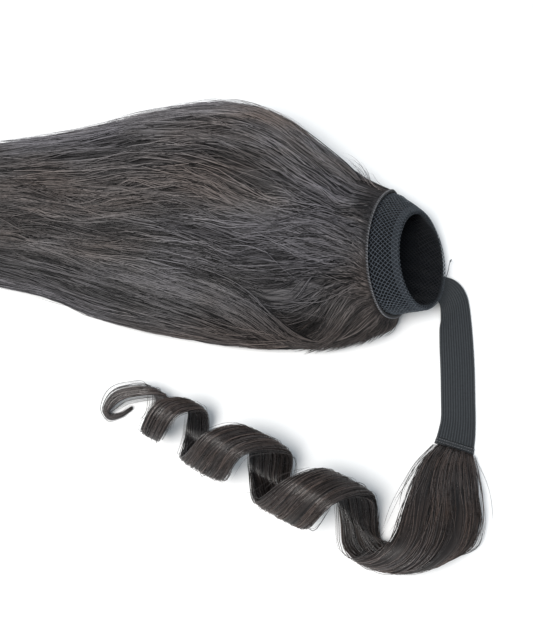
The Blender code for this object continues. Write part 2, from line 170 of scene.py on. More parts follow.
# The fall of hair, as the CAD part has it
LOCK_WIDTHS = (1.0, 0.8, 1.25, 0.9, 1.1, 0.75, 1.3, 0.85, 1.0, 1.2, 0.9, 1.1, 0.8, 1.05)
LOCK_PROFILE = ((0.0, -1.0), (0.2, 0.5), (0.5, 1.0), (0.8, 0.5), (1.0, -1.0))
FALL_COLUMNS = "far_x far_y near_x near_y side top lean_x lean_y".split()
FALL_SECTIONS = (
    (65.5, 77.0, 69.0, -15.0, 10.5, 35.0, -17.0, -11.0),
    (55.0, 87.0, 59.0, -18.5, 10.0, 37.0, -13.0, -9.0),
    (41.0, 98.0, 45.5, -22.5, 9.5, 39.0, -8.0, -6.0),
    (15.0, 122.0, 25.5, -25.5, 9.5, 41.0, -4.0, -3.0),
    (-7.5, 133.0, 3.5, -26.5, 9.5, 41.5, 0.0, 0.0),
    (-30.0, 136.3, -20.0, -24.0, 9.5, 40.5, 0.0, 0.0),
    (-56.0, 133.0, -46.5, -19.8, 9.0, 38.5, 0.0, 0.0),
    (-81.0, 127.3, -71.5, -14.6, 9.0, 36.5, 0.0, 0.0),
    (-106.0, 118.5, -95.0, -7.6, 8.5, 34.5, 0.0, 0.0),
    (-131.0, 113.0, -118.5, 2.4, 8.0, 32.0, 0.0, 0.0),
    (-168.0, 106.8, -156.0, 13.6, 7.5, 28.5, 0.0, 0.0),
    (-205.0, 101.5, -200.0, 22.0, 6.5, 24.0, 0.0, 0.0),
    (-250.0, 95.0, -248.0, 28.0, 5.5, 19.0, 0.0, 0.0),
    (-300.0, 88.0, -300.0, 34.0, 4.2, 13.5, 0.0, 0.0),
    (-345.0, 80.0, -346.0, 39.0, 2.6, 8.0, 0.0, 0.0),
    (-374.0, 73.0, -375.0, 45.0, 1.2, 3.4, 0.0, 0.0),
)
STRAND_RIDGE = 0.35
FREE_HEIGHT = 4.0
BODY_INSET = 1.0
BODY_ROWS = 100
BODY_POINTS_PER_LOCK = 12
GROOVE_DEPTH = 0.35
TIP_HOLLOW = 4.0
# How finely the fall, its flow and its waves are worked out
GRID_SHARES = 420
GRID_TURNS = 480
FLOW_STEPS = 401
WAVE_STEPS = 90
GUIDE_STEPS = 200
# Where on the fall strands begin, and how low they may lie
FIRST_SHARE = 0.002
LOWEST_STRAND = 0.25

# Strands over these hollows are painted darker, as painted shade
# Hollows in the fall: place by share of its length and turn round it, size and depth
HOLLOW_COLUMNS = "share turn share_size turn_size depth".split()
HOLLOWS = (
    (0.125, 0.434, 0.017, 0.017, 5.0),
    (0.048, 0.205, 0.014, 0.026, 1.6),
    (0.090, 0.140, 0.045, 0.020, 2.2),
    (0.230, 0.352, 0.040, 0.010, 1.4),
    (0.305, 0.230, 0.045, 0.012, 1.0),
)
# Where hair that is sewn in at a turn of the root (first column) lies at shares of the length
FLOW_SHARES = (0.0, 0.02, 0.05, 0.08, 0.11, 0.14, 0.17, 0.20, 0.25, 0.30, 0.40, 0.60, 1.0)
FLOW_TURNS = (
    (-0.12, -0.12, -0.12, -0.12, -0.12, -0.12, -0.12, -0.12, -0.12, -0.12, -0.12, -0.12, -0.12),
    (-0.03, -0.02, -0.01, 0.00, 0.005, 0.005, 0.00, -0.005, -0.01, -0.015, -0.02, -0.02, -0.02),
    (0.03, 0.065, 0.085, 0.100, 0.108, 0.108, 0.100, 0.092, 0.078, 0.068, 0.060, 0.055, 0.05),
    (0.06, 0.108, 0.130, 0.146, 0.156, 0.156, 0.148, 0.138, 0.122, 0.110, 0.100, 0.095, 0.09),
    (0.10, 0.155, 0.190, 0.199, 0.203, 0.198, 0.190, 0.180, 0.165, 0.155, 0.145, 0.140, 0.135),
    (0.145, 0.186, 0.206, 0.226, 0.244, 0.249, 0.250, 0.242, 0.222, 0.214, 0.205, 0.195, 0.19),
    (0.20, 0.229, 0.240, 0.250, 0.262, 0.270, 0.277, 0.275, 0.262, 0.254, 0.245, 0.235, 0.23),
    (0.26, 0.264, 0.272, 0.281, 0.289, 0.292, 0.296, 0.302, 0.296, 0.290, 0.280, 0.270, 0.265),
    (0.295, 0.296, 0.304, 0.312, 0.321, 0.330, 0.338, 0.343, 0.334, 0.328, 0.318, 0.305, 0.30),
    (0.31, 0.310, 0.322, 0.339, 0.359, 0.378, 0.390, 0.380, 0.362, 0.348, 0.335, 0.325, 0.32),
    (0.33, 0.331, 0.346, 0.378, 0.436, 0.470, 0.440, 0.402, 0.373, 0.356, 0.343, 0.333, 0.33),
    (0.362, 0.364, 0.390, 0.446, 0.492, 0.495, 0.460, 0.425, 0.392, 0.375, 0.357, 0.345, 0.34),
    (0.41, 0.430, 0.480, 0.502, 0.510, 0.502, 0.478, 0.446, 0.412, 0.395, 0.375, 0.362, 0.355),
    (0.47, 0.490, 0.510, 0.522, 0.528, 0.525, 0.512, 0.490, 0.465, 0.450, 0.430, 0.415, 0.41),
    (0.52, 0.530, 0.540, 0.545, 0.545, 0.540, 0.535, 0.525, 0.508, 0.497, 0.485, 0.475, 0.47),
    (0.58, 0.580, 0.580, 0.580, 0.580, 0.575, 0.570, 0.565, 0.560, 0.555, 0.550, 0.540, 0.53),
    (0.70, 0.700, 0.700, 0.700, 0.700, 0.700, 0.700, 0.700, 0.700, 0.700, 0.700, 0.700, 0.70),
)
# The lock that comes up over the near edge and lies on top, as points of share and turn
OVER_EDGE = ((0.070, 0.545), (0.090, 0.528), (0.107, 0.508), (0.125, 0.496), (0.143, 0.480),
             (0.172, 0.440), (0.203, 0.406), (0.25, 0.380), (0.33, 0.358), (0.45, 0.345))

# Slow waves of the strands, as wavelength and size in millimetres: sideways for a tuft and for a
# single strand, and up and down
TUFT_WAVES = ((210, 2.6), (95, 1.7), (48, 0.55))
TUFT_RISES = ((80, 0.45), (45, 0.2))
STRAND_WAVES = ((130, 0.9), (60, 0.5), (33, 0.18))
STRAND_RISES = ((75, 0.35),)
SHORT_TUFT_WAVES = ((60, 0.9), (28, 0.35))
SHORT_STRAND_WAVES = ((40, 0.35), (21, 0.14))
SWEPT_TUFT_WAVES = ((110, 1.2), (45, 0.5))
SWEPT_STRAND_WAVES = ((60, 0.4), (30, 0.12))
LOCK_WAVES = ((130, 0.06), (50, 0.035))
LOCK_RISES = ((40, 0.12),)

# Layers of strands over the fall
ALL_ROUND = (-0.09, 0.60)
UPPER_SIDE = (-0.05, 0.57)
# Piece, strands, points on each, turns, shares where they end, lifts, tufts
COMBED_LAYERS = (
    ("tail_strands_deep", 600, 22, ALL_ROUND, (0.88, 1.02), (-0.6, 0.3), 90),
    ("tail_strands_top", 620, 26, UPPER_SIDE, (0.70, 1.02), (-0.2, 0.8), 150),
    ("tail_strands_root", 1100, 15, UPPER_SIDE, (0.05, 0.24), (0.0, 1.1), 220),
)
# Piece, strands, points on each, turns, shares where they begin, how much of the fall they span,
# how high they rise
TUFT_LAYERS = (
    ("tail_tufts_root", 2000, 11, UPPER_SIDE, (0.0, 0.26), (0.05, 0.13), (0.3, 1.5)),
    ("tail_tufts_middle", 1700, 11, UPPER_SIDE, (0.22, 0.55), (0.06, 0.15), (0.2, 1.4)),
    ("tail_tufts_end", 1100, 10, UPPER_SIDE, (0.5, 0.94), (0.08, 0.18), (0.1, 1.0)),
)
STRANDS_PER_TUFT = 5
OVER_EDGE_STRANDS = (240, 24)
FRINGE_STRANDS = (460, 11)
# Loose hairs: how many, turns, shares where they begin, span, lifts, drift in turn
FLYAWAY_GROUPS = (
    (420, (0.01, 0.13), (0.02, 0.48), (0.05, 0.13), (0.6, 3.4), 0.012),
    (90, (0.44, 0.52), (0.10, 0.50), (0.05, 0.12), (0.6, 2.2), 0.010),
    (70, (0.10, 0.42), (0.00, 0.45), (0.05, 0.16), (0.6, 1.8), 0.020),
    (14, (0.00, 0.05), (0.00, 0.01), (0.02, 0.05), (4.0, 8.0), 0.015),
    (60, (0.05, 0.45), (0.55, 0.96), (0.04, 0.09), (0.6, 2.0), 0.012),
)
FLYAWAY_POINTS = 12
FLYAWAY_WIDTHS = (0.14, 0.28)

# The strap, as the CAD part has it: its left and right edges, at the underside
STRAP_THICKNESS = 1.6
STRAP_LINES = (
    (95.0, 4.0, 5.9, 95.5, 20.6, 2.4),
    (98.0, 3.4, 5.8, 101.0, 20.6, 2.4),
    (100.2, 1.8, 4.6, 106.0, 20.0, 1.9),
    (101.0, -0.6, 3.0, 111.2, 18.4, 1.2),
    (101.2, -3.6, 1.4, 115.4, 14.6, 0.6),
    (101.0, -7.6, 0.4, 118.0, 8.6, 0.2),
    (100.0, -12.4, 0.0, 118.9, 0.0, 0.0),
    (99.0, -24.0, 0.0, 118.6, -18.0, 0.0),
    (98.2, -38.0, 0.0, 117.6, -36.0, 0.0),
    (97.0, -54.0, 0.0, 116.0, -54.0, 0.0),
    (96.0, -65.0, 0.0, 114.8, -67.0, 0.0),
    (94.2, -71.5, 0.0, 113.6, -76.0, 0.0),
    (92.6, -76.0, 0.0, 112.3, -82.5, 0.0),
)
STRAP_STATIONS = 80
POINTS_PER_RIB = 4
STRAY_THREAD = (
    (105.6, 18.6, 3.2),
    (106.6, 20.6, 5.0),
    (107.4, 23.4, 6.0),
    (108.6, 27.6, 5.2),
    (110.4, 31.2, 3.6),
)
THREAD_WIDTH = 0.42
KNOT_WIDTH = 0.95
WEFT_LENGTH = 3.4
WEFT_THICKNESS = 2.8
WEFT_STATIONS = 15
WEFT_POINTS = 41
WEFT_STITCH_ROWS = (0.25, 0.7)
WEFT_STITCHES = 17
WEFT_STITCH_POINTS = 6
WEFT_STITCH_SHARE = 0.62
WEFT_STITCH_WIDTH = 0.36
WEFT_STITCH_HEIGHT = 0.10
WEFT_STITCH_SINK = 0.6
WEFT_STITCH_JITTER = 0.1

# The wrap lock, as the CAD part has it. Rows of the flare and of the tip give the leading edge,
# the trailing edge, the arch between them and the thickness.
FLARE = (
    (92.2, -80.7, 1.7, 110.8, -86.8, 1.7, 0.0, 2.6),
    (83.8, -89.4, 4.5, 111.2, -95.2, 3.0, 0.5, 4.5),
    (75.1, -103.8, 9.0, 110.9, -109.1, 4.5, 2.0, 6.0),
    (68.6, -117.4, 14.0, 109.4, -124.5, 5.5, 4.0, 7.0),
    (63.7, -128.7, 18.0, 103.7, -135.0, 5.0, 5.5, 7.0),
    (58.6, -135.4, 19.0, 91.1, -140.0, 4.0, 5.5, 6.5),
    (51.5, -139.8, 15.0, 76.7, -140.6, 2.8, 4.0, 6.0),
    (43.0, -140.2, 8.0, 67.5, -136.0, 2.6, 2.5, 5.5),
    (38.6, -133.6, 3.4, 63.0, -132.0, 2.6, 1.0, 5.0),
)
RINGLET_AXIS_ANGLE = 151.5
RINGLET_COLUMNS = "turn along across radius width thickness".split()
RINGLET = (
    (0.5, -102.5, 87.0, 14.0, 24.0, 4.8),
    (0.75, -87.5, 87.0, 14.8, 27.0, 4.4),
    (1.0, -72.0, 87.0, 14.6, 26.0, 4.2),
    (1.25, -63.5, 87.0, 14.6, 29.0, 4.2),
    (1.5, -49.0, 87.0, 14.2, 25.0, 4.0),
    (1.75, -41.0, 87.0, 14.4, 27.0, 3.8),
    (2.0, -23.0, 87.0, 14.2, 23.0, 3.6),
    (2.25, -17.0, 87.0, 13.8, 25.0, 3.4),
    (2.5, -4.0, 86.5, 12.6, 14.0, 3.2),
    (2.75, 3.0, 86.0, 12.2, 12.0, 3.0),
    (3.0, 13.4, 84.5, 12.2, 13.5, 2.8),
    (3.25, 16.5, 85.5, 12.6, 12.0, 2.6),
    (3.5, 19.0, 87.5, 10.6, 8.5, 2.4),
    (3.75, 25.0, 84.0, 8.4, 7.5, 2.0),
)
TIP = (
    (-74.2, -50.5, 9.0, -74.3, -56.2, 9.0, 0.0, 1.8),
    (-82.5, -52.3, 7.5, -79.4, -57.4, 7.5, 0.0, 1.8),
    (-87.8, -57.5, 5.0, -84.5, -60.6, 5.0, 0.0, 1.7),
    (-89.2, -62.7, 2.6, -87.0, -63.0, 2.6, 0.0, 1.6),
    (-86.7, -65.7, 1.2, -85.5, -64.3, 1.2, 0.0, 1.5),
    (-80.5, -64.8, 0.9, -80.4, -63.4, 0.9, 0.0, 1.4),
    (-73.7, -60.2, 0.9, -74.3, -59.1, 0.9, 0.0, 1.2),
)
LOCK_GRID = 900
LOCK_BODY_STATIONS = 220
LOCK_BODY_POINTS = 28
LOCK_INSET = 0.7
LOCK_SQUARENESS = 0.8
LOCK_SHADE = (0.60, 0.51, 0.46)
# How often streaks come across the lock, and how strong they are
LOCK_STREAKS = ((9.0, 0.24), (17.0, 0.18), (31.0, 0.12))
LOCK_STRANDS = 1700
LOCK_STRAND_POINTS = 14
LOCK_STRANDS_PER_TUFT = 4
OUTER_SHARE = 0.55
# Painted shade on the lock's inside face: how light its strands are kept there
INNER_PAINTED_SHADE = 0.12
# Loose hairs of the lock: how many, points on each, span, how far across they reach, lifts, widths,
# and shares where they begin
LOCK_EDGE_HAIRS = (190, 20, (0.05, 0.14), 1.22, (0.2, 1.8), (0.14, 0.24))
LOCK_TIP_HAIRS = (44, 20, (0.06, 0.10), 2.3, (-0.4, 0.9), (0.16, 0.34), (0.82, 0.97))

# Dark tones of the cloth and yarns, and the colours that no setting changes
# The woven cloths' dark tones are painted shade in the dips between their threads
YARN_DARK = (0.030, 0.036, 0.044)
# Painted shade of the net's yarns where they turn inside the collar
YARN_INSIDE_SHADE = (0.009, 0.010, 0.0125)
# The lining's near-black colours are painted shade of the hollow collar
LINING_SHADE_COLOURS = (0.001, 0.001, 0.0012), (0.008, 0.009, 0.011)
HEM_COLOURS = (0.006, 0.007, 0.009), (0.030, 0.035, 0.042)
BAND_DARK = (0.006, 0.006, 0.007)
STITCH_DARK = (0.05, 0.05, 0.055)
STRAY_COLOURS = (0.02, 0.022, 0.026), (0.09, 0.10, 0.12)
TAPE_DARK = (0.003, 0.0033, 0.004)
WEFT_DARK = (0.004, 0.0045, 0.005)
WEFT_STITCH_DARK = (0.06, 0.06, 0.065)

ROOT_BODY = "root"


# Shared arithmetic


def table_of(rows, names):
    """A table's columns by name."""
    return dict(zip(names, np.array(rows, float).T))


def spline(rows, knots, at):
    """Cubic Hermite curve through rows, one for each knot, with three-point slopes."""
    rows, knots, at = np.asarray(rows, float), np.asarray(knots, float), np.asarray(at, float)
    steps = np.diff(knots)
    shape = (-1,) + (1,) * (rows.ndim - 1)
    chords = np.diff(rows, axis=0) / steps.reshape(shape)
    before, after = steps[:-1].reshape(shape), steps[1:].reshape(shape)
    inner = (chords[:-1] * after + chords[1:] * before) / (before + after)
    slopes = np.concatenate([chords[:1], inner, chords[-1:]])
    cell = np.clip(np.searchsorted(knots, at, side="right") - 1, 0, len(steps) - 1)
    width = steps[cell].reshape(shape)
    t = ((at - knots[cell]) / steps[cell]).reshape(shape)
    return (
        rows[cell] * (2 * t**3 - 3 * t**2 + 1)
        + rows[cell + 1] * (3 * t**2 - 2 * t**3)
        + slopes[cell] * width * (t**3 - 2 * t**2 + t)
        + slopes[cell + 1] * width * (t**3 - t**2)
    )


def unit(vectors):
    """Vectors brought to length one."""
    return vectors / (np.linalg.norm(vectors, axis=-1, keepdims=True) + 1e-12)


def lengths_along(points):
    """Distance of each point from the first, along the line through them."""
    return np.concatenate([[0.0], np.cumsum(np.linalg.norm(np.diff(points, axis=0), axis=1))])


def lengths_along_mean(rings):
    """Distance along a stack of rings, as the mean over their points."""
    steps = np.linalg.norm(np.diff(rings, axis=0), axis=2).mean(axis=1)
    return np.concatenate([[0.0], np.cumsum(steps)])


def girths(rings):
    """The length round each of a stack of rings."""
    return np.linalg.norm(rings - np.roll(rings, 1, axis=1), axis=2).sum(axis=1)


def ring_normals(rings):
    """Normals over a stack of rings."""
    round_it = np.roll(rings, -1, axis=1) - np.roll(rings, 1, axis=1)
    return unit(np.cross(round_it, np.gradient(rings, axis=0)) + 1e-9)


def signed_power(values, power):
    """A power of the size that keeps the sign."""
    return np.sign(values) * np.abs(values) ** power


def keep_above(points, height=0.0):
    """Raises the points that lie lower than a height above the table."""
    points[..., 2] = np.maximum(points[..., 2], height)


def eased(values, low, high):
    """Smooth step from 0 at low to 1 at high."""
    t = np.clip((values - low) / (high - low), 0.0, 1.0)
    return t * t * (3 - 2 * t)


def on_grid(grid, rows, columns):
    """Points of a grid at fractional rows and columns, mixed from the four around. Columns wrap."""
    last = grid.shape[0] - 1
    rows = np.clip(rows, 0, last - 1e-6)
    r, c = np.floor(rows).astype(int), np.floor(columns).astype(int)
    a, b = (rows - r)[..., None], (columns - c)[..., None]
    c0, c1 = c % grid.shape[1], (c + 1) % grid.shape[1]
    return (grid[r, c0] * (1 - b) + grid[r, c1] * b) * (1 - a) + (
        grid[r + 1, c0] * (1 - b) + grid[r + 1, c1] * b
    ) * a


def wander(rng, count, distance, terms):
    """Slow random waves, nought at distance nought: for each term of wavelength and size, a sine
    of the distance with a random phase and a random share of the size."""
    total = 0.0
    for wavelength, size in terms:
        phase = rng.uniform(0, FULL_TURN, (count, 1))
        share = rng.normal(0.0, 1.0, (count, 1))
        total = total + size * share * (
            np.sin(FULL_TURN * distance / wavelength + phase) - np.sin(phase)
        )
    return total


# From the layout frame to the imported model


def strap_lines(stations):
    """Left and right edges of the strap's underside, by the spline through its table."""
    at = np.linspace(0, len(STRAP_LINES) - 1, stations)
    rows = spline(STRAP_LINES, range(len(STRAP_LINES)), at)
    left, right = rows[:, :3], rows[:, 3:]
    keep_above(left)
    keep_above(right)
    return left, right


@functools.lru_cache(maxsize=1)
def row_shift():
    """The step from the layout frame to the row frame, in millimetres: the strap's lowest corner
    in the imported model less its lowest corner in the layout."""
    low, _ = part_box("strap")
    left, right = strap_lines(121)
    own = np.minimum(left.min(axis=0), right.min(axis=0))
    return np.array([low.x, low.y, 0.0]) / MM - np.array([own[0], own[1], 0.0])


# Meshes from arrays


def signed_volume(points, corners):
    """Six times the volume between triangles and the origin."""
    a, b, c = points[corners[:, 0]], points[corners[:, 1]], points[corners[:, 2]]
    return float(np.einsum("ij,ij->", a, np.cross(b, c)))


def link_object(name, data):
    """An object in the scene that holds a mesh, a camera or a lamp."""
    made = bpy.data.objects.new(name, data)
    bpy.context.scene.collection.objects.link(made)
    return made


def build_mesh(name, points, face_sets, finish, uv_sets=None, attributes=None):
    """One object from points in layout millimetres and arrays of faces, each array with one
    number of corners. Faces are turned together so that the closed shape's volume is positive."""
    points = np.asarray(points, float).reshape(-1, 3)
    centred = points - points.mean(axis=0)
    volume = 0.0
    for faces in face_sets:
        for k in range(1, faces.shape[1] - 1):
            volume += signed_volume(centred, faces[:, [0, k, k + 1]])
    if volume < 0:
        face_sets = [faces[:, ::-1] for faces in face_sets]
        uv_sets = None if uv_sets is None else [uv[:, ::-1] for uv in uv_sets]
    placed = ((points + row_shift()) * MM).astype(np.float32)
    mesh = bpy.data.meshes.new(name)
    mesh.vertices.add(len(placed))
    mesh.vertices.foreach_set("co", placed.ravel())
    corners = np.concatenate([faces.ravel() for faces in face_sets]).astype(np.int32)
    sizes = np.concatenate([np.full(len(faces), faces.shape[1]) for faces in face_sets])
    starts = np.concatenate([[0], np.cumsum(sizes)[:-1]]).astype(np.int32)
    mesh.loops.add(len(corners))
    mesh.loops.foreach_set("vertex_index", corners)
    mesh.polygons.add(len(sizes))
    mesh.polygons.foreach_set("loop_start", starts)
    mesh.update(calc_edges=True)
    mesh.shade_smooth()
    if uv_sets is not None:
        layer = mesh.uv_layers.new(name="flow")
        flat = np.concatenate([uv.reshape(-1, 2) for uv in uv_sets]).astype(np.float32)
        layer.data.foreach_set("uv", flat.ravel())
    for label, values in (attributes or {}).items():
        layer = mesh.attributes.new(label, "FLOAT", "POINT")
        layer.data.foreach_set("value", np.asarray(values, np.float32).ravel())
    mesh.materials.append(finish)
    return link_object(name, mesh)


def closed_rings(rings, ends):
    """Points, faces and UVs of closed rings skinned in order. With a start and an end point the
    ends are closed by fans, and with None for them the last ring joins the first."""
    count, points = rings.shape[:2]
    looped = ends is None
    i = np.arange(count if looped else count - 1)[:, None]
    j = np.arange(points)[None, :]
    k, n = (i + 1) % count, (j + 1) % points
    quads = np.stack([i * points + j, i * points + n, k * points + n, k * points + j], -1)
    across, along = j / points, i / (count - 1)
    step, rise = 1 / points, 1 / (count - 1)
    across, along = np.broadcast_arrays(across, along)
    uv = np.stack(
        [
            np.stack([across, along], -1),
            np.stack([across + step, along], -1),
            np.stack([across + step, along + rise], -1),
            np.stack([across, along + rise], -1),
        ],
        -2,
    )
    vertices, faces, uvs = [rings.reshape(-1, 3)], [quads.reshape(-1, 4)], [uv.reshape(-1, 4, 2)]
    if not looped:
        ring = np.arange(points)
        after = (ring + 1) % points
        first, last = count * points, count * points + 1
        shift = (count - 1) * points
        low = np.stack([after, ring, np.full(points, first)], -1)
        high = np.stack([ring + shift, after + shift, np.full(points, last)], -1)
        vertices += [np.array([point]) for point in ends]
        faces.append(np.concatenate([low, high]))
        share = ring / points
        fan = np.stack([share + step, share, share + step / 2], -1)
        level = np.zeros_like(fan)
        uvs.append(np.stack([np.concatenate([fan, fan[:, [1, 0, 2]]]),
                             np.concatenate([level, level + 1.0])], -1))
    return np.concatenate(vertices), faces, uvs


def tubes(paths, widths, outward, sides, flatness):
    """Corners and faces of many thin tubes: a regular polygon of the given width is carried along
    each path, one corner towards the outward direction, and each end is closed by one face."""
    count, stations = paths.shape[:2]
    ahead = unit(np.gradient(paths, axis=1))
    side = unit(np.cross(ahead, outward))
    top = np.cross(side, ahead)
    angle = FULL_TURN * (np.arange(sides) / sides + 0.25)
    reach = (np.asarray(widths) / 2)[..., None, None]
    corners = paths[:, :, None] + reach * (
        side[:, :, None] * np.cos(angle)[:, None]
        + top[:, :, None] * np.sin(angle)[:, None] * flatness
    )
    n = np.arange(count)[:, None, None] * stations * sides
    k = np.arange(stations - 1)[None, :, None] * sides
    c, d = np.arange(sides)[None, None, :], (np.arange(sides)[None, None, :] + 1) % sides
    quads = np.stack(
        np.broadcast_arrays(n + k + c, n + k + d, n + k + sides + d, n + k + sides + c), -1
    )
    start = n[:, 0, 0][:, None] + np.arange(sides)[::-1]
    end = n[:, 0, 0][:, None] + (stations - 1) * sides + np.arange(sides)
    return corners.reshape(-1, 3), [quads.reshape(-1, 4), np.concatenate([start, end])]


def strand_object(name, paths, widths, outward, tint, finish, sides=3, flatness=1.0):
    """Tubes as one object. Its attributes are each strand's tint, which may change along it, and
    the share along it."""
    points, faces = tubes(paths, widths, outward, sides, flatness)
    count, stations = paths.shape[:2]
    # For the hair the tint also holds painted shade and highlights
    tint = np.broadcast_to(tint if tint.ndim == 2 else tint[:, None], (count, stations))
    tints = np.repeat(tint.ravel(), sides)
    along = np.tile(np.repeat(np.linspace(0, 1, stations), sides), count)
    return build_mesh(name, points, faces, finish, attributes={"tint": tints, "along": along})


def tapered(width, stations, root=0.06, tip=0.16):
    """Widths along each strand: full in the middle, narrowing over its root and tip shares."""
    t = np.linspace(0, 1, stations)[None, :]
    shape = np.minimum(eased(t, -root * 0.6, root), eased(1 - t, -tip * 0.12, tip))
    return np.asarray(width)[:, None] * np.maximum(shape, 0.12)


def shell(name, rings, ends, finish, slot, node):
    """A closed shell over rings, as a piece that stands for a node of the CAD part."""
    points, faces, uvs = closed_rings(rings, ends)
    return attach(build_mesh(name, points, faces, finish, uvs), slot, node)


def end_centres(rings):
    """The middles of the first and the last ring."""
    return rings[0].mean(axis=0), rings[-1].mean(axis=0)


def attach(made, slot, *nodes):
    """Lets a piece ride on the body and hides the CAD nodes it stands for. The slot is not used."""
    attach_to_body(made, ROOT_BODY)
    if nodes:
        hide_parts(*nodes)
    return made


# Node groups and materials


def add(tree, kind, **values):
    """A node with the named inputs set."""
    node = tree.nodes.new(kind)
    for label, value in values.items():
        node.inputs[label.replace("_", " ")].default_value = value
    return node


def feed(tree, node, values):
    """Gives a node's inputs, by number or name, sockets to read or plain values."""
    for label, value in values.items():
        if isinstance(value, bpy.types.NodeSocket):
            tree.links.new(value, node.inputs[label])
        else:
            node.inputs[label].default_value = value
    return node


def math_node(tree, operation, *values):
    """The result of a Math node."""
    node = tree.nodes.new("ShaderNodeMath")
    node.operation = operation
    return feed(tree, node, dict(enumerate(values))).outputs[0]


def colour_mix(tree, factor, first, second, blend="MIX"):
    """The colour that a Mix node gives, from sockets or plain values."""
    node = tree.nodes.new("ShaderNodeMix")
    node.data_type = "RGBA"
    node.blend_type = blend
    return feed(tree, node, {0: factor, 6: first, 7: second}).outputs[2]


def remapped(tree, value, low, high, to_low=0.0, to_high=1.0):
    """A value brought from one range to another, and kept inside it."""
    node = add(tree, "ShaderNodeMapRange", From_Min=low, From_Max=high,
               To_Min=to_low, To_Max=to_high)
    tree.links.new(value, node.inputs["Value"])
    return node.outputs[0]


def texture_place(tree, kind="Object"):
    """Where a texture is read: the object's own coordinates, or its UV map."""
    return tree.nodes.new("ShaderNodeTexCoord").outputs[kind]


def noise(tree, place, **values):
    """Noise at a place, from nought to one."""
    node = add(tree, "ShaderNodeTexNoise", **values)
    tree.links.new(place, node.inputs["Vector"])
    return node.outputs[0]


def split_vector(tree, vector):
    """The three coordinates of a vector."""
    node = tree.nodes.new("ShaderNodeSeparateXYZ")
    tree.links.new(vector, node.inputs[0])
    return node.outputs


def strand_value(tree, name):
    """A strand's own attribute."""
    node = tree.nodes.new("ShaderNodeAttribute")
    node.attribute_name = name
    return node.outputs["Fac"]


def raise_grain(tree, shader, height, strength, distance):
    """Lets a height raise the surface that a shader shows."""
    bump = add(tree, "ShaderNodeBump", Strength=strength, Distance=distance)
    tree.links.new(height, bump.inputs["Height"])
    tree.links.new(bump.outputs[0], shader.inputs["Normal"])


def new_group(name, inputs, outputs):
    """An empty shader group with named sockets, and its input and output nodes."""
    group = bpy.data.node_groups.new(name, "ShaderNodeTree")
    for label, kind, default in inputs:
        socket = group.interface.new_socket(label, in_out="INPUT", socket_type=kind)
        socket.default_value = default
    for label, kind in outputs:
        group.interface.new_socket(label, in_out="OUTPUT", socket_type=kind)
    return group, group.nodes.new("NodeGroupInput"), group.nodes.new("NodeGroupOutput")


@functools.lru_cache(maxsize=1)
def hair_shades():
    """Hair colour: dark to light by the strand's tint, warmer in soft patches and towards the
    root, cooler between them, and a little uneven along its length."""
    group, given, out = new_group(
        "hair_shades",
        (
            ("Tint", "NodeSocketFloat", 0.5),
            ("Dark", "NodeSocketColor", (0.02, 0.02, 0.02, 1)),
            ("Light", "NodeSocketColor", (0.1, 0.1, 0.1, 1)),
            ("Warm", "NodeSocketColor", (0.1, 0.06, 0.04, 1)),
            ("Warmth", "NodeSocketFloat", 0.5),
        ),
        (("Colour", "NodeSocketColor"), ("Roughness", "NodeSocketFloat")),
    )
    place = texture_place(group)
    # The tint holds the strands' painted shade and highlights as well as their own tone
    shade = colour_mix(group, given.outputs["Tint"], given.outputs["Dark"], given.outputs["Light"])
    drawn_out = add(group, "ShaderNodeMapping", Scale=(0.55, 1.3, 1.3))
    group.links.new(place, drawn_out.inputs["Vector"])
    patches = noise(group, drawn_out.outputs[0], Scale=16.0, Detail=3.0, Roughness=0.55)
    towards_root = remapped(group, split_vector(group, place)[0], 0.0, 0.2, -0.05, 0.06)
    tone = math_node(group, "ADD", patches, towards_root)
    mask = remapped(group, tone, 0.48, 0.66)
    mask = math_node(group, "MULTIPLY", mask, given.outputs["Warmth"])
    cool = colour_mix(group, remapped(group, tone, 0.50, 0.38), (1, 1, 1, 1),
                      (0.965, 0.98, 1.04, 1))
    cool = colour_mix(group, 1.0, shade, cool, "MULTIPLY")
    warm = colour_mix(group, 1.0, shade, given.outputs["Warm"], "MULTIPLY")
    warm = colour_mix(group, mask, cool, warm)
    fine = noise(group, place, Scale=420.0, Detail=2.0)
    uneven = remapped(group, fine, 0.3, 0.7, 0.88, 1.12)
    shaded = group.nodes.new("ShaderNodeVectorMath")
    shaded.operation = "SCALE"
    group.links.new(warm, shaded.inputs[0])
    group.links.new(uneven, shaded.inputs["Scale"])
    group.links.new(shaded.outputs[0], out.inputs["Colour"])
    rough = remapped(group, fine, 0.3, 0.7, 0.36, 0.52)
    group.links.new(rough, out.inputs["Roughness"])
    return group


@functools.lru_cache(maxsize=1)
def hair_streaks():
    """Fine streaks along a UV map's second axis: noise that is dense across and long along."""
    group, given, out = new_group(
        "hair_streaks",
        (
            ("Across", "NodeSocketFloat", 300.0),
            ("Along", "NodeSocketFloat", 8.0),
        ),
        (("Shade", "NodeSocketFloat"), ("Height", "NodeSocketFloat")),
    )
    flow_across, flow_along, _ = split_vector(group, texture_place(group, "UV"))
    across = math_node(group, "MULTIPLY", flow_across, given.outputs["Across"])
    along = math_node(group, "MULTIPLY", flow_along, given.outputs["Along"])
    join = feed(group, group.nodes.new("ShaderNodeCombineXYZ"), {0: across, 1: along})
    coarse = noise(group, join.outputs[0], Scale=0.35, Detail=2.0, Distortion=0.3)
    fine = noise(group, join.outputs[0], Scale=1.0, Detail=3.0, Roughness=0.65)
    height = math_node(group, "ADD", coarse, fine)
    group.links.new(remapped(group, height, 0.6, 1.4), out.inputs["Height"])
    group.links.new(remapped(group, height, 0.75, 1.3), out.inputs["Shade"])
    return group


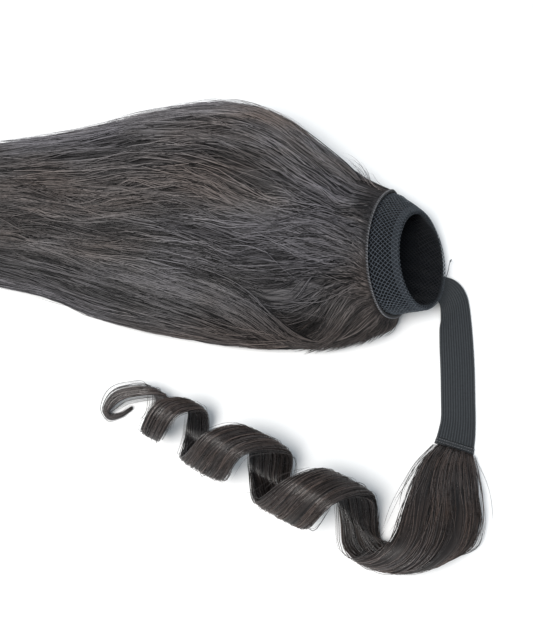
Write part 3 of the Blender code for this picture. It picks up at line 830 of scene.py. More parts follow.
@functools.lru_cache(maxsize=1)
def woven_grain():
    """Over and under threads on a UV map: two crossed sine waves, the higher one showing."""
    group, given, out = new_group(
        "woven_grain",
        (
            ("Across", "NodeSocketFloat", 60.0),
            ("Along", "NodeSocketFloat", 300.0),
            ("Slant", "NodeSocketFloat", 0.0),
        ),
        (("Mask", "NodeSocketFloat"), ("Height", "NodeSocketFloat")),
    )
    flow_across, flow_along, _ = split_vector(group, texture_place(group, "UV"))
    slant = given.outputs["Slant"]
    across = math_node(group, "MULTIPLY", flow_across, given.outputs["Across"])
    along = math_node(group, "MULTIPLY", flow_along, given.outputs["Along"])
    first = math_node(group, "ADD", along, math_node(group, "MULTIPLY", across, slant))
    second = math_node(group, "SUBTRACT", across, math_node(group, "MULTIPLY", along, slant))
    waves = [
        math_node(group, "SINE", math_node(group, "MULTIPLY", angle, FULL_TURN))
        for angle in (first, second)
    ]
    height = math_node(group, "MAXIMUM", *waves)
    group.links.new(remapped(group, height, -0.4, 1.0), out.inputs["Height"])
    fuzz = noise(group, texture_place(group), Scale=900.0, Detail=2.0)
    # The mask: painted shade where a thread dips under the other, with a fine random fuzz
    thread_shade_and_fuzz = math_node(group, "MULTIPLY", remapped(group, height, -0.4, 1.0, 0.35, 1.0),
                      remapped(group, fuzz, 0.3, 0.7, 0.7, 1.15))
    group.links.new(thread_shade_and_fuzz, out.inputs["Mask"])
    return group


def use_group(tree, group, **values):
    """A node group placed in a material with its own values."""
    node = tree.nodes.new("ShaderNodeGroup")
    node.node_tree = group
    return feed(tree, node, values)


def new_material(name, roughness, specular, sheen=0.0):
    """A material with its node tree and its shader."""
    made = bpy.data.materials.new(name)
    made.use_nodes = True
    shader = made.node_tree.nodes["Principled BSDF"]
    shader.inputs["Roughness"].default_value = roughness
    shader.inputs["Specular IOR Level"].default_value = specular
    shader.inputs["Sheen Weight"].default_value = sheen
    shader.inputs["Sheen Roughness"].default_value = 0.4
    return made, made.node_tree, shader


def opaque(colour):
    """A colour with full cover."""
    return (*colour, 1.0)


def strand_finish(name, settings, lift=1.0, warmth=0.8, specular=0.3, matt=1.0):
    """Single strands: the shared shades by the strand's tint, its own tone and any painted shade.
    """
    made, tree, shader = new_material(name, 0.4, specular)
    shades = use_group(
        tree,
        hair_shades(),
        Tint=strand_value(tree, "tint"),
        Dark=opaque(settings.dark_colour),
        Light=opaque(np.array(settings.light_colour) * lift),
        Warm=opaque(settings.warm_colour),
        Warmth=warmth,
    )
    roughness = math_node(tree, "MULTIPLY", shades.outputs["Roughness"], matt)
    tree.links.new(shades.outputs["Colour"], shader.inputs["Base Color"])
    tree.links.new(roughness, shader.inputs["Roughness"])
    return made


def body_finish(name, settings, across, along, lift=1.0):
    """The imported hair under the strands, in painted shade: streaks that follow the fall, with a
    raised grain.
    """
    made, tree, shader = new_material(name, 0.5, 0.25)
    streaks = use_group(tree, hair_streaks(), Across=across, Along=along)
    shades = use_group(
        tree,
        hair_shades(),
        # Painted shade: the hair under the strands is darker than they are
        Tint=math_node(tree, "MULTIPLY", streaks.outputs["Shade"], 0.6),
        Dark=opaque([c * 0.5 for c in settings.dark_colour]),
        Light=opaque(np.array(settings.light_colour) * lift),
        Warm=opaque(settings.warm_colour),
        Warmth=0.8,
    )
    raise_grain(tree, shader, streaks.outputs["Height"], 0.8, 0.0006)
    tree.links.new(shades.outputs["Colour"], shader.inputs["Base Color"])
    tree.links.new(shades.outputs["Roughness"], shader.inputs["Roughness"])
    return made


def woven_finish(name, dark, light, across, along, depth, roughness, slant=0.0, specular=0.4):
    """Cloth with a woven grain: the grain's mask paints shade into its dips and its height raises
    it.
    """
    made, tree, shader = new_material(name, roughness, specular, sheen=0.1)
    grain = use_group(tree, woven_grain(), Across=across, Along=along, Slant=slant)
    colour = colour_mix(tree, grain.outputs["Mask"], opaque(dark), opaque(light))
    raise_grain(tree, shader, grain.outputs["Height"], 0.7, depth)
    tree.links.new(colour, shader.inputs["Base Color"])
    return made


def yarn_finish(name, dark, light, roughness=0.45, specular=0.5, inner=None):
    """Twisted yarn: fine noise on the object's own coordinates shades it. Past the middle of its
    length, where it turns inside, its colour can change to an inner one, painted shade of the
    inside."""
    made, tree, shader = new_material(name, roughness, specular)
    mask = remapped(tree, noise(tree, texture_place(tree), Scale=1500.0, Detail=2.0), 0.3, 0.7)
    raise_grain(tree, shader, mask, 0.5, 0.0002)
    colour = colour_mix(tree, mask, opaque(dark), opaque(light))
    if inner is not None:
        # Painted shade on the part of the yarn that turns inside
        inside_shade_mask = remapped(tree, strand_value(tree, "along"), 0.50, 0.62)
        colour = colour_mix(tree, inside_shade_mask, colour, opaque(inner))
    tree.links.new(colour, shader.inputs["Base Color"])
    return made


# The net collar


def collar_ring(position, turns):
    """Mid-wall of the net at a fractional ring number, for angles in turns from the far side."""
    row = spline(COLLAR_RINGS, range(len(COLLAR_RINGS)), np.atleast_1d(float(position)))[0]
    ring = dict(zip(COLLAR_COLUMNS, row))
    angle = FULL_TURN * np.asarray(turns, float)
    up = np.sin(angle) * np.where(np.sin(angle) > 0, ring["rise"], ring["drop"])
    lean = math.radians(ring["lean"])
    return np.stack(
        [
            ring["x"] - up * math.sin(lean),
            ring["y"] + ring["half_length"] * np.cos(angle) - up * ring["skew"],
            ring["z"] + up * math.cos(lean),
        ],
        -1,
    )


def collar_offset(position, turns, outward, towards_mouth=0.0):
    """A ring set off from the net's mid-wall, outwards and along the wall to the mouth."""
    step = 0.02
    ahead, behind = min(position + step, MOUTH_RING), max(position - step, 0)
    along = collar_ring(ahead, turns) - collar_ring(behind, turns)
    round_it = collar_ring(position, turns + step / 4) - collar_ring(position, turns - step / 4)
    normal = unit(np.cross(round_it, along))
    return collar_ring(position, turns) + normal * outward + unit(along) * towards_mouth


@functools.lru_cache(maxsize=1)
def yarn_surface():
    """Grid of the yarns' sheet, from the seam over the lip and back inside, the distance of each
    of its rows from the seam, and the lip's distance."""
    turns = np.arange(GRID_TURNS) / GRID_TURNS
    stations = np.array([collar_offset(ring, turns, out, on) for ring, out, on in YARN_STATIONS])
    knots = lengths_along_mean(stations)
    at = np.linspace(0, knots[-1], YARN_ROWS)
    grid = spline(stations, knots, at)
    inside = eased(at, knots[INSIDE_STATION], knots[-1])[:, None]
    uneven = 0.4 * np.sin(FULL_TURN * turns * 3)
    gather = GATHER_DEPTH * np.sin(FULL_TURN * (turns * GATHERS + uneven))
    low_side = np.clip(-np.sin(FULL_TURN * turns) + 0.3, 0, 1)
    grid += ring_normals(grid) * (inside * (gather - GATHER_DEPTH) * low_side)[:, :, None]
    return grid, at, knots[LIP_STATION]


def make_net(settings):
    """Two crossing families of yarns: each yarn's turn grows, or falls, evenly with its distance
    from the seam, so that the families leave diamond cells between them."""
    grid, at, _ = yarn_surface()
    normals = ring_normals(grid)
    count = settings.yarn_count
    distance = np.linspace(0, at[-1], YARN_POINTS)
    slope = 1.0 / count / settings.cell_length
    first = np.arange(count)[:, None] / count
    paths, outward = [], []
    for sign in (1.0, -1.0):
        turn = (first + sign * slope * distance[None, :]) * GRID_TURNS
        row = np.broadcast_to(distance / at[-1] * (len(at) - 1), turn.shape)
        over = np.cos(FULL_TURN * distance / settings.cell_length)[None, :, None]
        over = CROSSING_HEIGHT * over * sign
        normal = on_grid(normals, row, turn)
        paths.append(on_grid(grid, row, turn) + normal * over)
        outward.append(normal)
    paths, outward = np.concatenate(paths), np.concatenate(outward)
    width = np.full(paths.shape[:2], settings.yarn_width)
    finish = yarn_finish("net_yarn", YARN_DARK, settings.yarn_colour, specular=0.2,
                         inner=YARN_INSIDE_SHADE)
    tint = np.random.default_rng(settings.seed).random(len(paths))
    net = strand_object("net_yarns", paths, width, outward, tint, finish, 4, YARN_FLATNESS)
    return attach(net, "net", "net_collar")


def make_lining():
    """The inner net, from the pocket's closed end to short of the lip, as a closed shell, near
    black as painted shade of the hollow collar. It is the net's sheet, with the yarns and the hem
    on it."""
    turns = np.arange(LINING_COLUMNS) / LINING_COLUMNS
    gather = LINING_GATHER * np.sin(FULL_TURN * turns * GATHERS)
    outer, inner = [
        [collar_offset(ring, turns, -depth) for ring in LINING_RINGS] for depth in LINING_DEPTHS
    ]
    knots = lengths_along_mean(np.array(outer))
    at = np.linspace(0, knots[-1], LINING_ROWS)
    outer, inner = spline(outer, knots, at), spline(inner, knots, at)
    inner += ring_normals(inner) * (gather * np.clip(at[:, None] / knots[-1], 0, 1))[:, :, None]
    end = np.array(POCKET_END)
    ends = end, end + np.array([POCKET_WALL, 0.0, 0.0])
    # Near-black colours: painted shade inside the collar
    finish = woven_finish("net_lining", *LINING_SHADE_COLOURS, 90.0, 60.0, slant=1.0, depth=0.0006,
                          roughness=0.9, specular=0.05)
    rings = np.concatenate([outer, inner[::-1]])
    lining = shell("net_lining", rings, ends, finish, "net", "net_collar")


def make_hem():
    """The net's dense hem: a thin closed shell just under the yarns, over the mouth's lip."""
    grid, at, lip = yarn_surface()
    rows = np.linspace(lip + HEM_REACH[0], lip + HEM_REACH[1], HEM_ROWS)
    rows = np.interp(rows, at, np.arange(len(at)))[:, None]
    columns = np.arange(0, GRID_TURNS, HEM_STEP)[None, :]
    rows, columns = np.broadcast_arrays(rows, columns)
    sheet, normal = on_grid(grid, rows, columns), on_grid(ring_normals(grid), rows, columns)
    upper, lower = (sheet - normal * depth for depth in HEM_DEPTHS)
    finish = woven_finish("net_hem", *HEM_COLOURS, 230.0, 26.0, slant=0.6, depth=0.0003,
                          roughness=0.8, specular=0.15)
    return shell("net_hem", np.concatenate([upper, lower[::-1]]), None, finish, "net", "net_collar")


def make_stray_thread():
    """A loose end of thread that stands out between the rim and the strap, with a knot."""
    at = np.linspace(0, len(STRAY_THREAD) - 1, 16)
    path = spline(STRAY_THREAD, range(len(STRAY_THREAD)), at)[None]
    width = np.full((1, len(at)), THREAD_WIDTH)
    width[0, -3:-1] = KNOT_WIDTH
    outward = np.broadcast_to(np.array([1.0, 0.0, 0.0]), path.shape)
    thread = yarn_finish("loose_thread", *STRAY_COLOURS, 0.6)
    made = strand_object("stray_thread", path, width, outward, np.ones(1), thread, sides=6)
    return attach(made, "thread")


def make_seam_band(settings):
    """The weft track: a rounded band round the seam, with stitches slanting over it."""
    turns = np.arange(SEAM_STATIONS) / SEAM_STATIONS
    angle = np.arange(BAND_POINTS) / BAND_POINTS * FULL_TURN
    on = SEAM_TRACK_WIDTH / 2 * signed_power(np.cos(angle), BAND_SQUARENESS)
    rise = 1 + signed_power(np.sin(angle), BAND_SQUARENESS)
    out = SEAM_CLEARANCE + SEAM_TRACK_HEIGHT / 2 * rise
    loops = np.array([collar_offset(SEAM_RING, turns, o, a) for o, a in zip(out, on)])
    band_finish = woven_finish("seam_band", BAND_DARK, settings.band_colour, 10.0, 320.0,
                               slant=0.3, depth=0.0003, roughness=0.75)
    shell("seam_band", loops.transpose(1, 0, 2), None, band_finish, "thread", "seam_track")
    count = settings.stitch_count
    rng = np.random.default_rng(settings.seed + 1)
    top = SEAM_CLEARANCE + SEAM_TRACK_HEIGHT + STITCH_HEIGHT
    share = np.linspace(-1, 1, STITCH_POINTS)
    paths = []
    for reach, slant, place, _ in STITCH_ROWS:
        centre = (np.arange(count) + rng.uniform(-STITCH_JITTER, STITCH_JITTER, count)) / count
        paths.append(np.array([
            collar_offset(SEAM_RING, centre + s * reach / count, top - STITCH_SINK * s**4,
                          place + s * slant)
            for s in share
        ]).transpose(1, 0, 2))
    paths = np.concatenate(paths)
    middle = paths.mean(axis=(0, 1))
    outward = np.broadcast_to(unit(paths[:, STITCH_POINTS // 2] - middle)[:, None], paths.shape)
    width = np.repeat([row[3] for row in STITCH_ROWS], count)[:, None] * np.ones(len(share))
    thread = yarn_finish("stitch_thread", STITCH_DARK, settings.stitch_colour, 0.6)
    tint = rng.random(len(paths))
    made = strand_object("seam_stitches", paths, width, outward, tint, thread, sides=4)
    attach(made, "thread")


# The fall of hair


def fall_section(row, turns):
    """One section of the ponytail: a dome over a flat underside, for angles from its far edge."""
    part = dict(zip(FALL_COLUMNS, row))
    angle = FULL_TURN * turns
    across, up = np.cos(angle), np.sin(angle)
    across = signed_power(across, 0.9)
    crown = np.clip(up, 0, 1) ** 0.95
    under = np.clip(-up, 0, 1) ** 0.5
    x = (part["far_x"] + part["near_x"]) / 2 + (part["far_x"] - part["near_x"]) / 2 * across
    y = (part["far_y"] + part["near_y"]) / 2 + (part["far_y"] - part["near_y"]) / 2 * across
    lean = crown - 0.6 * under
    return np.stack(
        [
            x + part["lean_x"] * lean,
            y + part["lean_y"] * lean,
            part["side"] + (part["top"] - part["side"]) * crown - part["side"] * under,
        ],
        -1,
    )


def hollows(share, turn):
    """Depth of the hollows at a place: a sum of smooth bowls, one for each row of a table."""
    deep = np.zeros(np.broadcast(share, turn).shape)
    for row in HOLLOWS:
        h = dict(zip(HOLLOW_COLUMNS, row))
        deep += h["depth"] * np.exp(
            -(((share - h["share"]) / h["share_size"]) ** 2)
            - ((turn - h["turn"]) / h["turn_size"]) ** 2
        )
    return deep


def free_of_table(rings):
    """Nought on the table and one from a few millimetres above it."""
    return np.clip(rings[:, :, 2] / FREE_HEIGHT, 0.0, 1.0)


def fall_rings(turns, shares):
    """Rings of the fall at shares of its length: sections by spline, then ridged into locks whose
    height across a lock follows its profile and swells slowly along it."""
    edge = collar_offset(SEAM_RING, turns, SEAM_CLEARANCE + ROOT_THICKNESS, ROOT_EDGE_AT)
    keep_above(edge)
    sections = np.array([edge] + [fall_section(row, turns) for row in FALL_SECTIONS])
    knots = lengths_along(np.array([s.mean(axis=0) for s in sections]))
    rings = spline(sections, knots, shares * knots[-1])
    keep_above(rings)
    outward = -ring_normals(rings)
    edges = np.concatenate([[0.0], np.cumsum(LOCK_WIDTHS)]) / sum(LOCK_WIDTHS)
    number = np.clip(np.searchsorted(edges, turns, side="right") - 1, 0, len(LOCK_WIDTHS) - 1)
    within = (turns - edges[number]) / np.diff(edges)[number]
    place, height = np.array(LOCK_PROFILE).T
    height = np.interp(within, place, height)
    fade = np.clip(shares * 9, 0, 1) * np.clip((1 - shares) * 5, 0.25, 1)
    free = free_of_table(rings)
    flat = 0.5 + 0.5 * np.abs(np.sin(FULL_TURN * turns))
    swell = flat * (1.0 + 0.35 * np.sin(7.0 * shares[:, None] + 2.4 * number))
    rings = rings + outward * (STRAND_RIDGE * height * swell * fade[:, None] * free)[:, :, None]
    rings -= outward * (hollows(shares[:, None], turns[None, :]) * free)[:, :, None]
    return rings, outward


@functools.lru_cache(maxsize=1)
def fall_surface():
    """Dense grid of the fall with its normals, length and girth, that the strands are laid on."""
    turns = np.arange(GRID_TURNS) / GRID_TURNS
    shares = np.linspace(0, 1, GRID_SHARES)
    grid, outward = fall_rings(turns, shares)
    return grid, outward, lengths_along(grid.mean(axis=1))[-1], girths(grid)


def girth_at(share):
    """The fall's girth at shares of its length."""
    return np.interp(share, np.linspace(0, 1, GRID_SHARES), fall_surface()[3])


def on_fall(share, turn, lift):
    """Points at a share of the length and a turn round the fall, lifted off its surface, and the
    outward directions there. Past the end they run straight on, and none goes below the table."""
    grid, normals, length, _ = fall_surface()
    row = np.clip(share, 0, 1) * (GRID_SHARES - 1)
    outward = unit(on_grid(normals, row, turn * GRID_TURNS))
    points = on_grid(grid, row, turn * GRID_TURNS) + outward * lift[..., None]
    points[..., 0] -= np.maximum(share - 1.0, 0.0) * length
    keep_above(points, LOWEST_STRAND)
    return points, outward


def make_tail_body(settings):
    """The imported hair: the ridged fall set in a little, finely grooved, with the root's recess
    round the net's pocket inside it."""
    count = BODY_POINTS_PER_LOCK * len(LOCK_WIDTHS)
    turns = np.arange(count) / count
    shares = np.linspace(0, 1, BODY_ROWS) ** 1.25
    rings, outward = fall_rings(turns, shares)
    rng = np.random.default_rng(settings.seed + 2)
    groove = rng.normal(0, 1, count)
    groove = GROOVE_DEPTH * (groove - np.roll(groove, 1)) * eased(shares, 0.0, 0.05)[:, None]
    inset = BODY_INSET * eased(shares, -0.004, 0.004)[:, None]
    rings = rings + outward * ((groove - inset) * free_of_table(rings))[:, :, None]
    keep_above(rings)
    clear = SEAM_CLEARANCE + POCKET_EASE
    recess = [collar_offset(ring, turns, clear) for ring in POCKET_STATIONS]
    root = collar_offset(SEAM_RING, turns, SEAM_CLEARANCE, ROOT_EDGE_AT)
    inside = np.array(POCKET_END) - np.array([clear, 0.0, 0.0])
    stack = np.concatenate([recess, root[None], rings])
    tip = rings[-1].mean(axis=0) + np.array([TIP_HOLLOW, 0.0, 0.0])
    finish = body_finish("packed_hair", settings, 260.0, 9.0)
    shell("tail_body", stack, (inside, tip), finish, "hair", "ponytail")


def tints(rng, count, tuft, lift, low=-0.5, high=1.3, bright=0.10, spread=0.23):
    """Shades along single strands: a strand's own and its tuft's, with a share of bright ones as
    painted highlights, and painted shade where the strand lies low among the others, from the high
    lift down to the low one."""
    tufts = rng.normal(0, 0.75 * spread, tuft.max() + 1)
    tint = 0.40 + rng.normal(0, 1.15 * spread, count) + tufts[tuft]
    # Painted highlights: a share of strands made bright, as strands that catch the light
    tint = np.where(rng.random(count) < bright, rng.uniform(0.8, 1.6, count), tint)
    # Painted shade: a strand is darker the lower it lies among the others
    raised = eased(lift, low, high)
    return np.clip(np.clip(tint, 0.0, 2.0)[:, None] * (0.04 + 1.06 * raised), 0.0, 1.0)


def flow(share, turn):
    """Where hair from a turn at the root lies at a share of the length: the flow table's own
    turns, mixed between its rows and, by a spline, between its columns."""
    rows = np.array(FLOW_TURNS)
    fine = np.linspace(0, 1, FLOW_STEPS)
    dense = spline(rows.T, FLOW_SHARES, fine)
    drift = dense - rows[:, 0][None, :]
    column = np.clip(share, 0, 1) * (FLOW_STEPS - 1)
    row = np.broadcast_to(np.interp(turn, rows[:, 0], np.arange(len(rows))), column.shape)
    c = np.clip(np.floor(column).astype(int), 0, FLOW_STEPS - 2)
    r = np.clip(np.floor(row).astype(int), 0, len(rows) - 2)
    a, b = row - r, column - c
    return turn + (
        (drift[c, r] * (1 - b) + drift[c + 1, r] * b) * (1 - a)
        + (drift[c, r + 1] * (1 - b) + drift[c + 1, r + 1] * b) * a
    )


def seam_roots(turn):
    """Points on the seam band where strands are sewn in, for turns round the seam."""
    lift = SEAM_CLEARANCE + SEAM_TRACK_HEIGHT + SEWN_IN_LIFT
    return collar_offset(SEAM_RING, turn, lift, SEWN_IN_AT)


def combed_strands(rng, settings, count, stations, turn_span, ends, lift_span, tufts):
    """Strands combed along the fall. Each starts at its own turn of the seam, follows the flow
    table, draws in towards the middle of its tuft with the distance, and both wander in slow
    waves. Its lift is its own and rises and falls, so that strands weave over each other."""
    length = fall_surface()[2]
    rng.random(count)  # not used: it keeps all later draws as they are
    reach = rng.uniform(*ends, count) - FIRST_SHARE
    t = np.linspace(0, 1, stations)[None, :] ** 1.15
    share = FIRST_SHARE + reach[:, None] * t
    low, high = turn_span
    turn0 = rng.uniform(low, high, count)
    tuft = ((turn0 - low) / (high - low) * tufts).astype(int)
    centre = low + (tuft + rng.uniform(0.3, 0.7, tufts)[tuft]) / tufts * (high - low)
    pull = rng.uniform(0.3, 0.9, tufts)[tuft][:, None] * eased(share, 0.01, 0.12)
    turn = turn0[:, None] + (centre - turn0)[:, None] * pull
    turn = flow(share, turn)
    distance = share * length
    even = np.linspace(0, 1, WAVE_STEPS)[None, :] * length
    column = np.clip(share, 0, 0.9999) * (WAVE_STEPS - 1)
    c = column.astype(int)
    rows = tuft[:, None]
    a = column - c
    shared, risen = (
        waves[rows, c] * (1 - a) + waves[rows, c + 1] * a
        for waves in [wander(rng, tufts, even, terms) for terms in (TUFT_WAVES, TUFT_RISES)]
    )
    own = wander(rng, count, distance, STRAND_WAVES)
    turn = turn + (shared + own) / girth_at(share)
    lift = rng.uniform(*lift_span, count)[:, None] + wander(rng, count, distance, STRAND_RISES)
    lift = (lift + risen) * eased(share, 0.0, 0.03)
    points, outward = on_fall(share, turn, lift)
    points[:, 0] = seam_roots(turn0)
    width = rng.uniform(0.6, 1.3, count) * settings.strand_width
    # Lift the painted shade reads: lower over hollows, higher at the seam so roots aren't dark
    lift_for_painted_shade = lift - painted_hollow_shade(share, turn) + 1.1 * (1 - eased(share, 0.0, 0.035))
    return points, tapered(width, stations, 0.02), outward, tuft, lift_for_painted_shade


def painted_hollow_shade(share, turn):
    """How much lower a strand counts for its painted shade where it crosses a hollow, so that it is
    painted darker there.
    """
    return hollows(share, turn) * 0.5


def woven_strands(rng, settings, count, stations, turn_span, start_span, span, height):
    """Short strands in small tufts that rise out of the combed hair, cross it at a slight slant
    and sink back into it: the lift is a half sine of the share along the strand."""
    length = fall_surface()[2]
    tufts = count // STRANDS_PER_TUFT + 1
    tuft = np.arange(count) // STRANDS_PER_TUFT
    begin = rng.uniform(*start_span, tufts)[tuft] + rng.normal(0, 0.006, count)
    reach = rng.uniform(*span, tufts)[tuft] * rng.uniform(0.75, 1.25, count)
    t = np.linspace(0, 1, stations)[None, :]
    share = np.clip(begin[:, None] + reach[:, None] * t, FIRST_SHARE, 1.0)
    turn0 = rng.uniform(*turn_span, tufts)[tuft] + rng.normal(0, 0.0032, count)
    slant = rng.normal(0, 0.009, tufts)[tuft] + rng.normal(0, 0.0025, count)
    turn = flow(share, turn0[:, None]) + slant[:, None] * (t - 0.5)
    bend = wander(rng, tufts, t * 50, SHORT_TUFT_WAVES)[tuft]
    own = wander(rng, count, share * length, SHORT_STRAND_WAVES)
    turn = turn + (bend + own) / girth_at(share)
    rise = rng.uniform(*height, tufts)[tuft] + rng.normal(0, 0.15, count)
    lift = -0.55 + (rise + 0.55)[:, None] * np.sin(math.pi * t) ** 0.7
    points, outward = on_fall(share, turn, lift)
    width = rng.uniform(0.6, 1.25, count) * settings.strand_width
    return points, tapered(width, stations, 0.2, 0.3), outward, tuft, lift - painted_hollow_shade(share, turn)


def swept_strands(rng, settings, guide, count, stations):
    """Strands of one swept lock: they follow a spline through its points of share and turn, spread
    to both sides of it in tufts, and lie on top of the combed hair."""
    length = fall_surface()[2]
    t = np.linspace(0, 1, stations)[None, :]
    tufts = count // STRANDS_PER_TUFT + 1
    tuft = np.arange(count) // STRANDS_PER_TUFT
    line = spline(guide, range(len(guide)), np.linspace(0, len(guide) - 1, GUIDE_STEPS))
    ends = rng.uniform(0.6, 1.0, count)[:, None]
    begins = rng.uniform(0.0, 0.25, count)[:, None]
    at = (begins + (ends - begins) * t) * (GUIDE_STEPS - 1)
    share, turn = (np.interp(at, np.arange(GUIDE_STEPS), line[:, k]) for k in (0, 1))
    place = rng.normal(0, 1.0, tufts)[tuft] * 0.013 + rng.normal(0, 0.003, count)
    turn = turn + place[:, None] * (1 + 0.4 * np.sin(math.pi * t))
    own = wander(rng, tufts, t * 150, SWEPT_TUFT_WAVES)[tuft]
    own = own + wander(rng, count, share * length, SWEPT_STRAND_WAVES)
    turn = turn + own / girth_at(share)
    high = rng.uniform(0.5, 1.8, tufts)[tuft] + rng.normal(0, 0.15, count)
    lift = -0.8 + (high + 0.8)[:, None] * np.sin(math.pi * t) ** 0.45
    points, outward = on_fall(share, turn, lift)
    width = rng.uniform(0.6, 1.2, count) * settings.strand_width
    return points, tapered(width, stations), outward, tuft, lift


def make_tail_strands(settings):
    """The fall's strands in layers, each a piece of its own."""
    rng = np.random.default_rng(settings.seed + 3)
    finish = strand_finish("hair_strand", settings)

    def lay(name, strands):
        """One layer: painted shade towards the near side and, less, the far side, and darker
        towards the free end.
        """
        paths, widths, outward, tuft, lift = strands
        shade = tints(rng, len(paths), tuft, lift)
        # Painted shade: the near side darker, and the far side a little
        shade = shade * (1 - 0.45 * eased(-outward[:, :, 1], 0.10, 0.8))
        shade = shade * (1 - 0.12 * eased(outward[:, :, 1], 0.2, 0.8))
        shade = shade * (1 - 0.30 * eased(-paths[:, :, 0], 40, 200))
        attach(strand_object(name, paths, widths, outward, shade, finish), "hair", "ponytail")

    for name, *layer in COMBED_LAYERS:
        lay(name, combed_strands(rng, settings, *layer))
    for name, *layer in TUFT_LAYERS:
        lay(name, woven_strands(rng, settings, *layer))
    lay("tail_lock_over_edge", swept_strands(rng, settings, OVER_EDGE, *OVER_EDGE_STRANDS))
    lay("tail_fringe", fringe_strands(rng, settings, *FRINGE_STRANDS))


def fringe_strands(rng, settings, count, stations):
    """Short strands at the near side of the root. Half follow the flow from the seam, and half lie
    along the near edge. They stand off the surface as a power of the share along them."""
    t = np.linspace(0, 1, stations)[None, :]
    edge = rng.random(count)[:, None] < 0.5
    root = np.where(edge, rng.uniform(0.46, 0.55, (count, 1)), rng.uniform(0.42, 0.57, (count, 1)))
    start = np.where(edge, rng.uniform(0.0, 0.10, (count, 1)), 0.001)
    reach = np.where(edge, rng.uniform(0.02, 0.05, (count, 1)), rng.uniform(0.03, 0.11, (count, 1)))
    share = start + reach * t
    turn = np.where(edge, root + 0.015 * t, flow(share, root))
    turn = turn + rng.normal(0, 0.006, count)[:, None] * t
    lift = 0.3 + rng.uniform(0.0, 1.0, count)[:, None] * t
    lift = lift + rng.uniform(1.0, 5.0, count)[:, None] * t ** np.where(edge, 1.4, 2.0)
    points, outward = on_fall(share, turn, lift)
    width = rng.uniform(0.4, 0.8, count) * settings.strand_width
    tuft = (root[:, 0] * 150).astype(int)
    return points, tapered(width, stations, 0.05, 0.25), outward, tuft, lift


def make_flyaways(settings):
    """Loose hairs that leave the fall's edges, its top, its root and its end: their lift follows a
    part of a sine along them, and they drift sideways."""
    rng = np.random.default_rng(settings.seed + 4)
    finish = strand_finish("loose_hair", settings, lift=1.7, warmth=1.0)
    all_paths, all_widths, all_outward = [], [], []
    t = np.linspace(0, 1, FLYAWAY_POINTS)[None, :]
    for count, turns, starts, spans, lifts, drift in FLYAWAY_GROUPS:
        first = rng.uniform(*starts, count)[:, None]
        share = first + rng.uniform(*spans, count)[:, None] * t
        turn = rng.uniform(*turns, count)[:, None] + rng.normal(0, drift, count)[:, None] * t**1.5
        end_lift = rng.uniform(*lifts, count)[:, None]
        lift = 0.4 + end_lift * np.sin(t * rng.uniform(1.4, 2.6, count)[:, None])
        points, outward = on_fall(share, turn, lift)
        all_paths.append(points)
        all_outward.append(outward)
        width = rng.uniform(*FLYAWAY_WIDTHS, count)
        all_widths.append(tapered(width, FLYAWAY_POINTS, 0.1, 0.5))
    paths = np.concatenate(all_paths)
    made = strand_object(
        "tail_flyaways", paths, np.concatenate(all_widths), np.concatenate(all_outward),
        rng.uniform(0.2, 1.0, len(paths)), finish,
    )
    attach(made, "hair")


# The strap and the weft


def flat_band(left, right, thickness, profile):
    """Rings of a band: its underside runs straight from the left line to the right, and its top is
    raised by the thickness times a profile across it."""
    a = np.linspace(0, 1, profile.shape[1])[None, :, None]
    under = left[:, None] * (1 - a) + right[:, None] * a
    top = under.copy()
    top[:, :, 2] += thickness * profile
    return np.concatenate([top, under[:, ::-1]], axis=1)


def make_strap(settings):
    """The ribbed tape: the height across it is a row of rounded ribs that falls at both edges."""
    left, right = strap_lines(STRAP_STATIONS)
    a = np.linspace(0, 1, settings.rib_count * POINTS_PER_RIB + 1)
    ribs = np.abs(np.sin(math.pi * settings.rib_count * a)) ** 0.7
    edge = np.clip(np.minimum(a, 1 - a) / 0.03, 0, 1) ** 0.5
    rise = (1 - settings.rib_height / STRAP_THICKNESS * (1 - ribs)) * (0.45 + 0.55 * edge)
    rings = flat_band(left, right, STRAP_THICKNESS, rise[None, :])
    finish = woven_finish("ribbed_tape", TAPE_DARK, settings.tape_colour,
                          float(settings.rib_count * 2), 260.0, depth=0.00015, roughness=0.65)
    strap = shell("ribbed_strap", rings, end_centres(rings), finish, "tape", "strap")


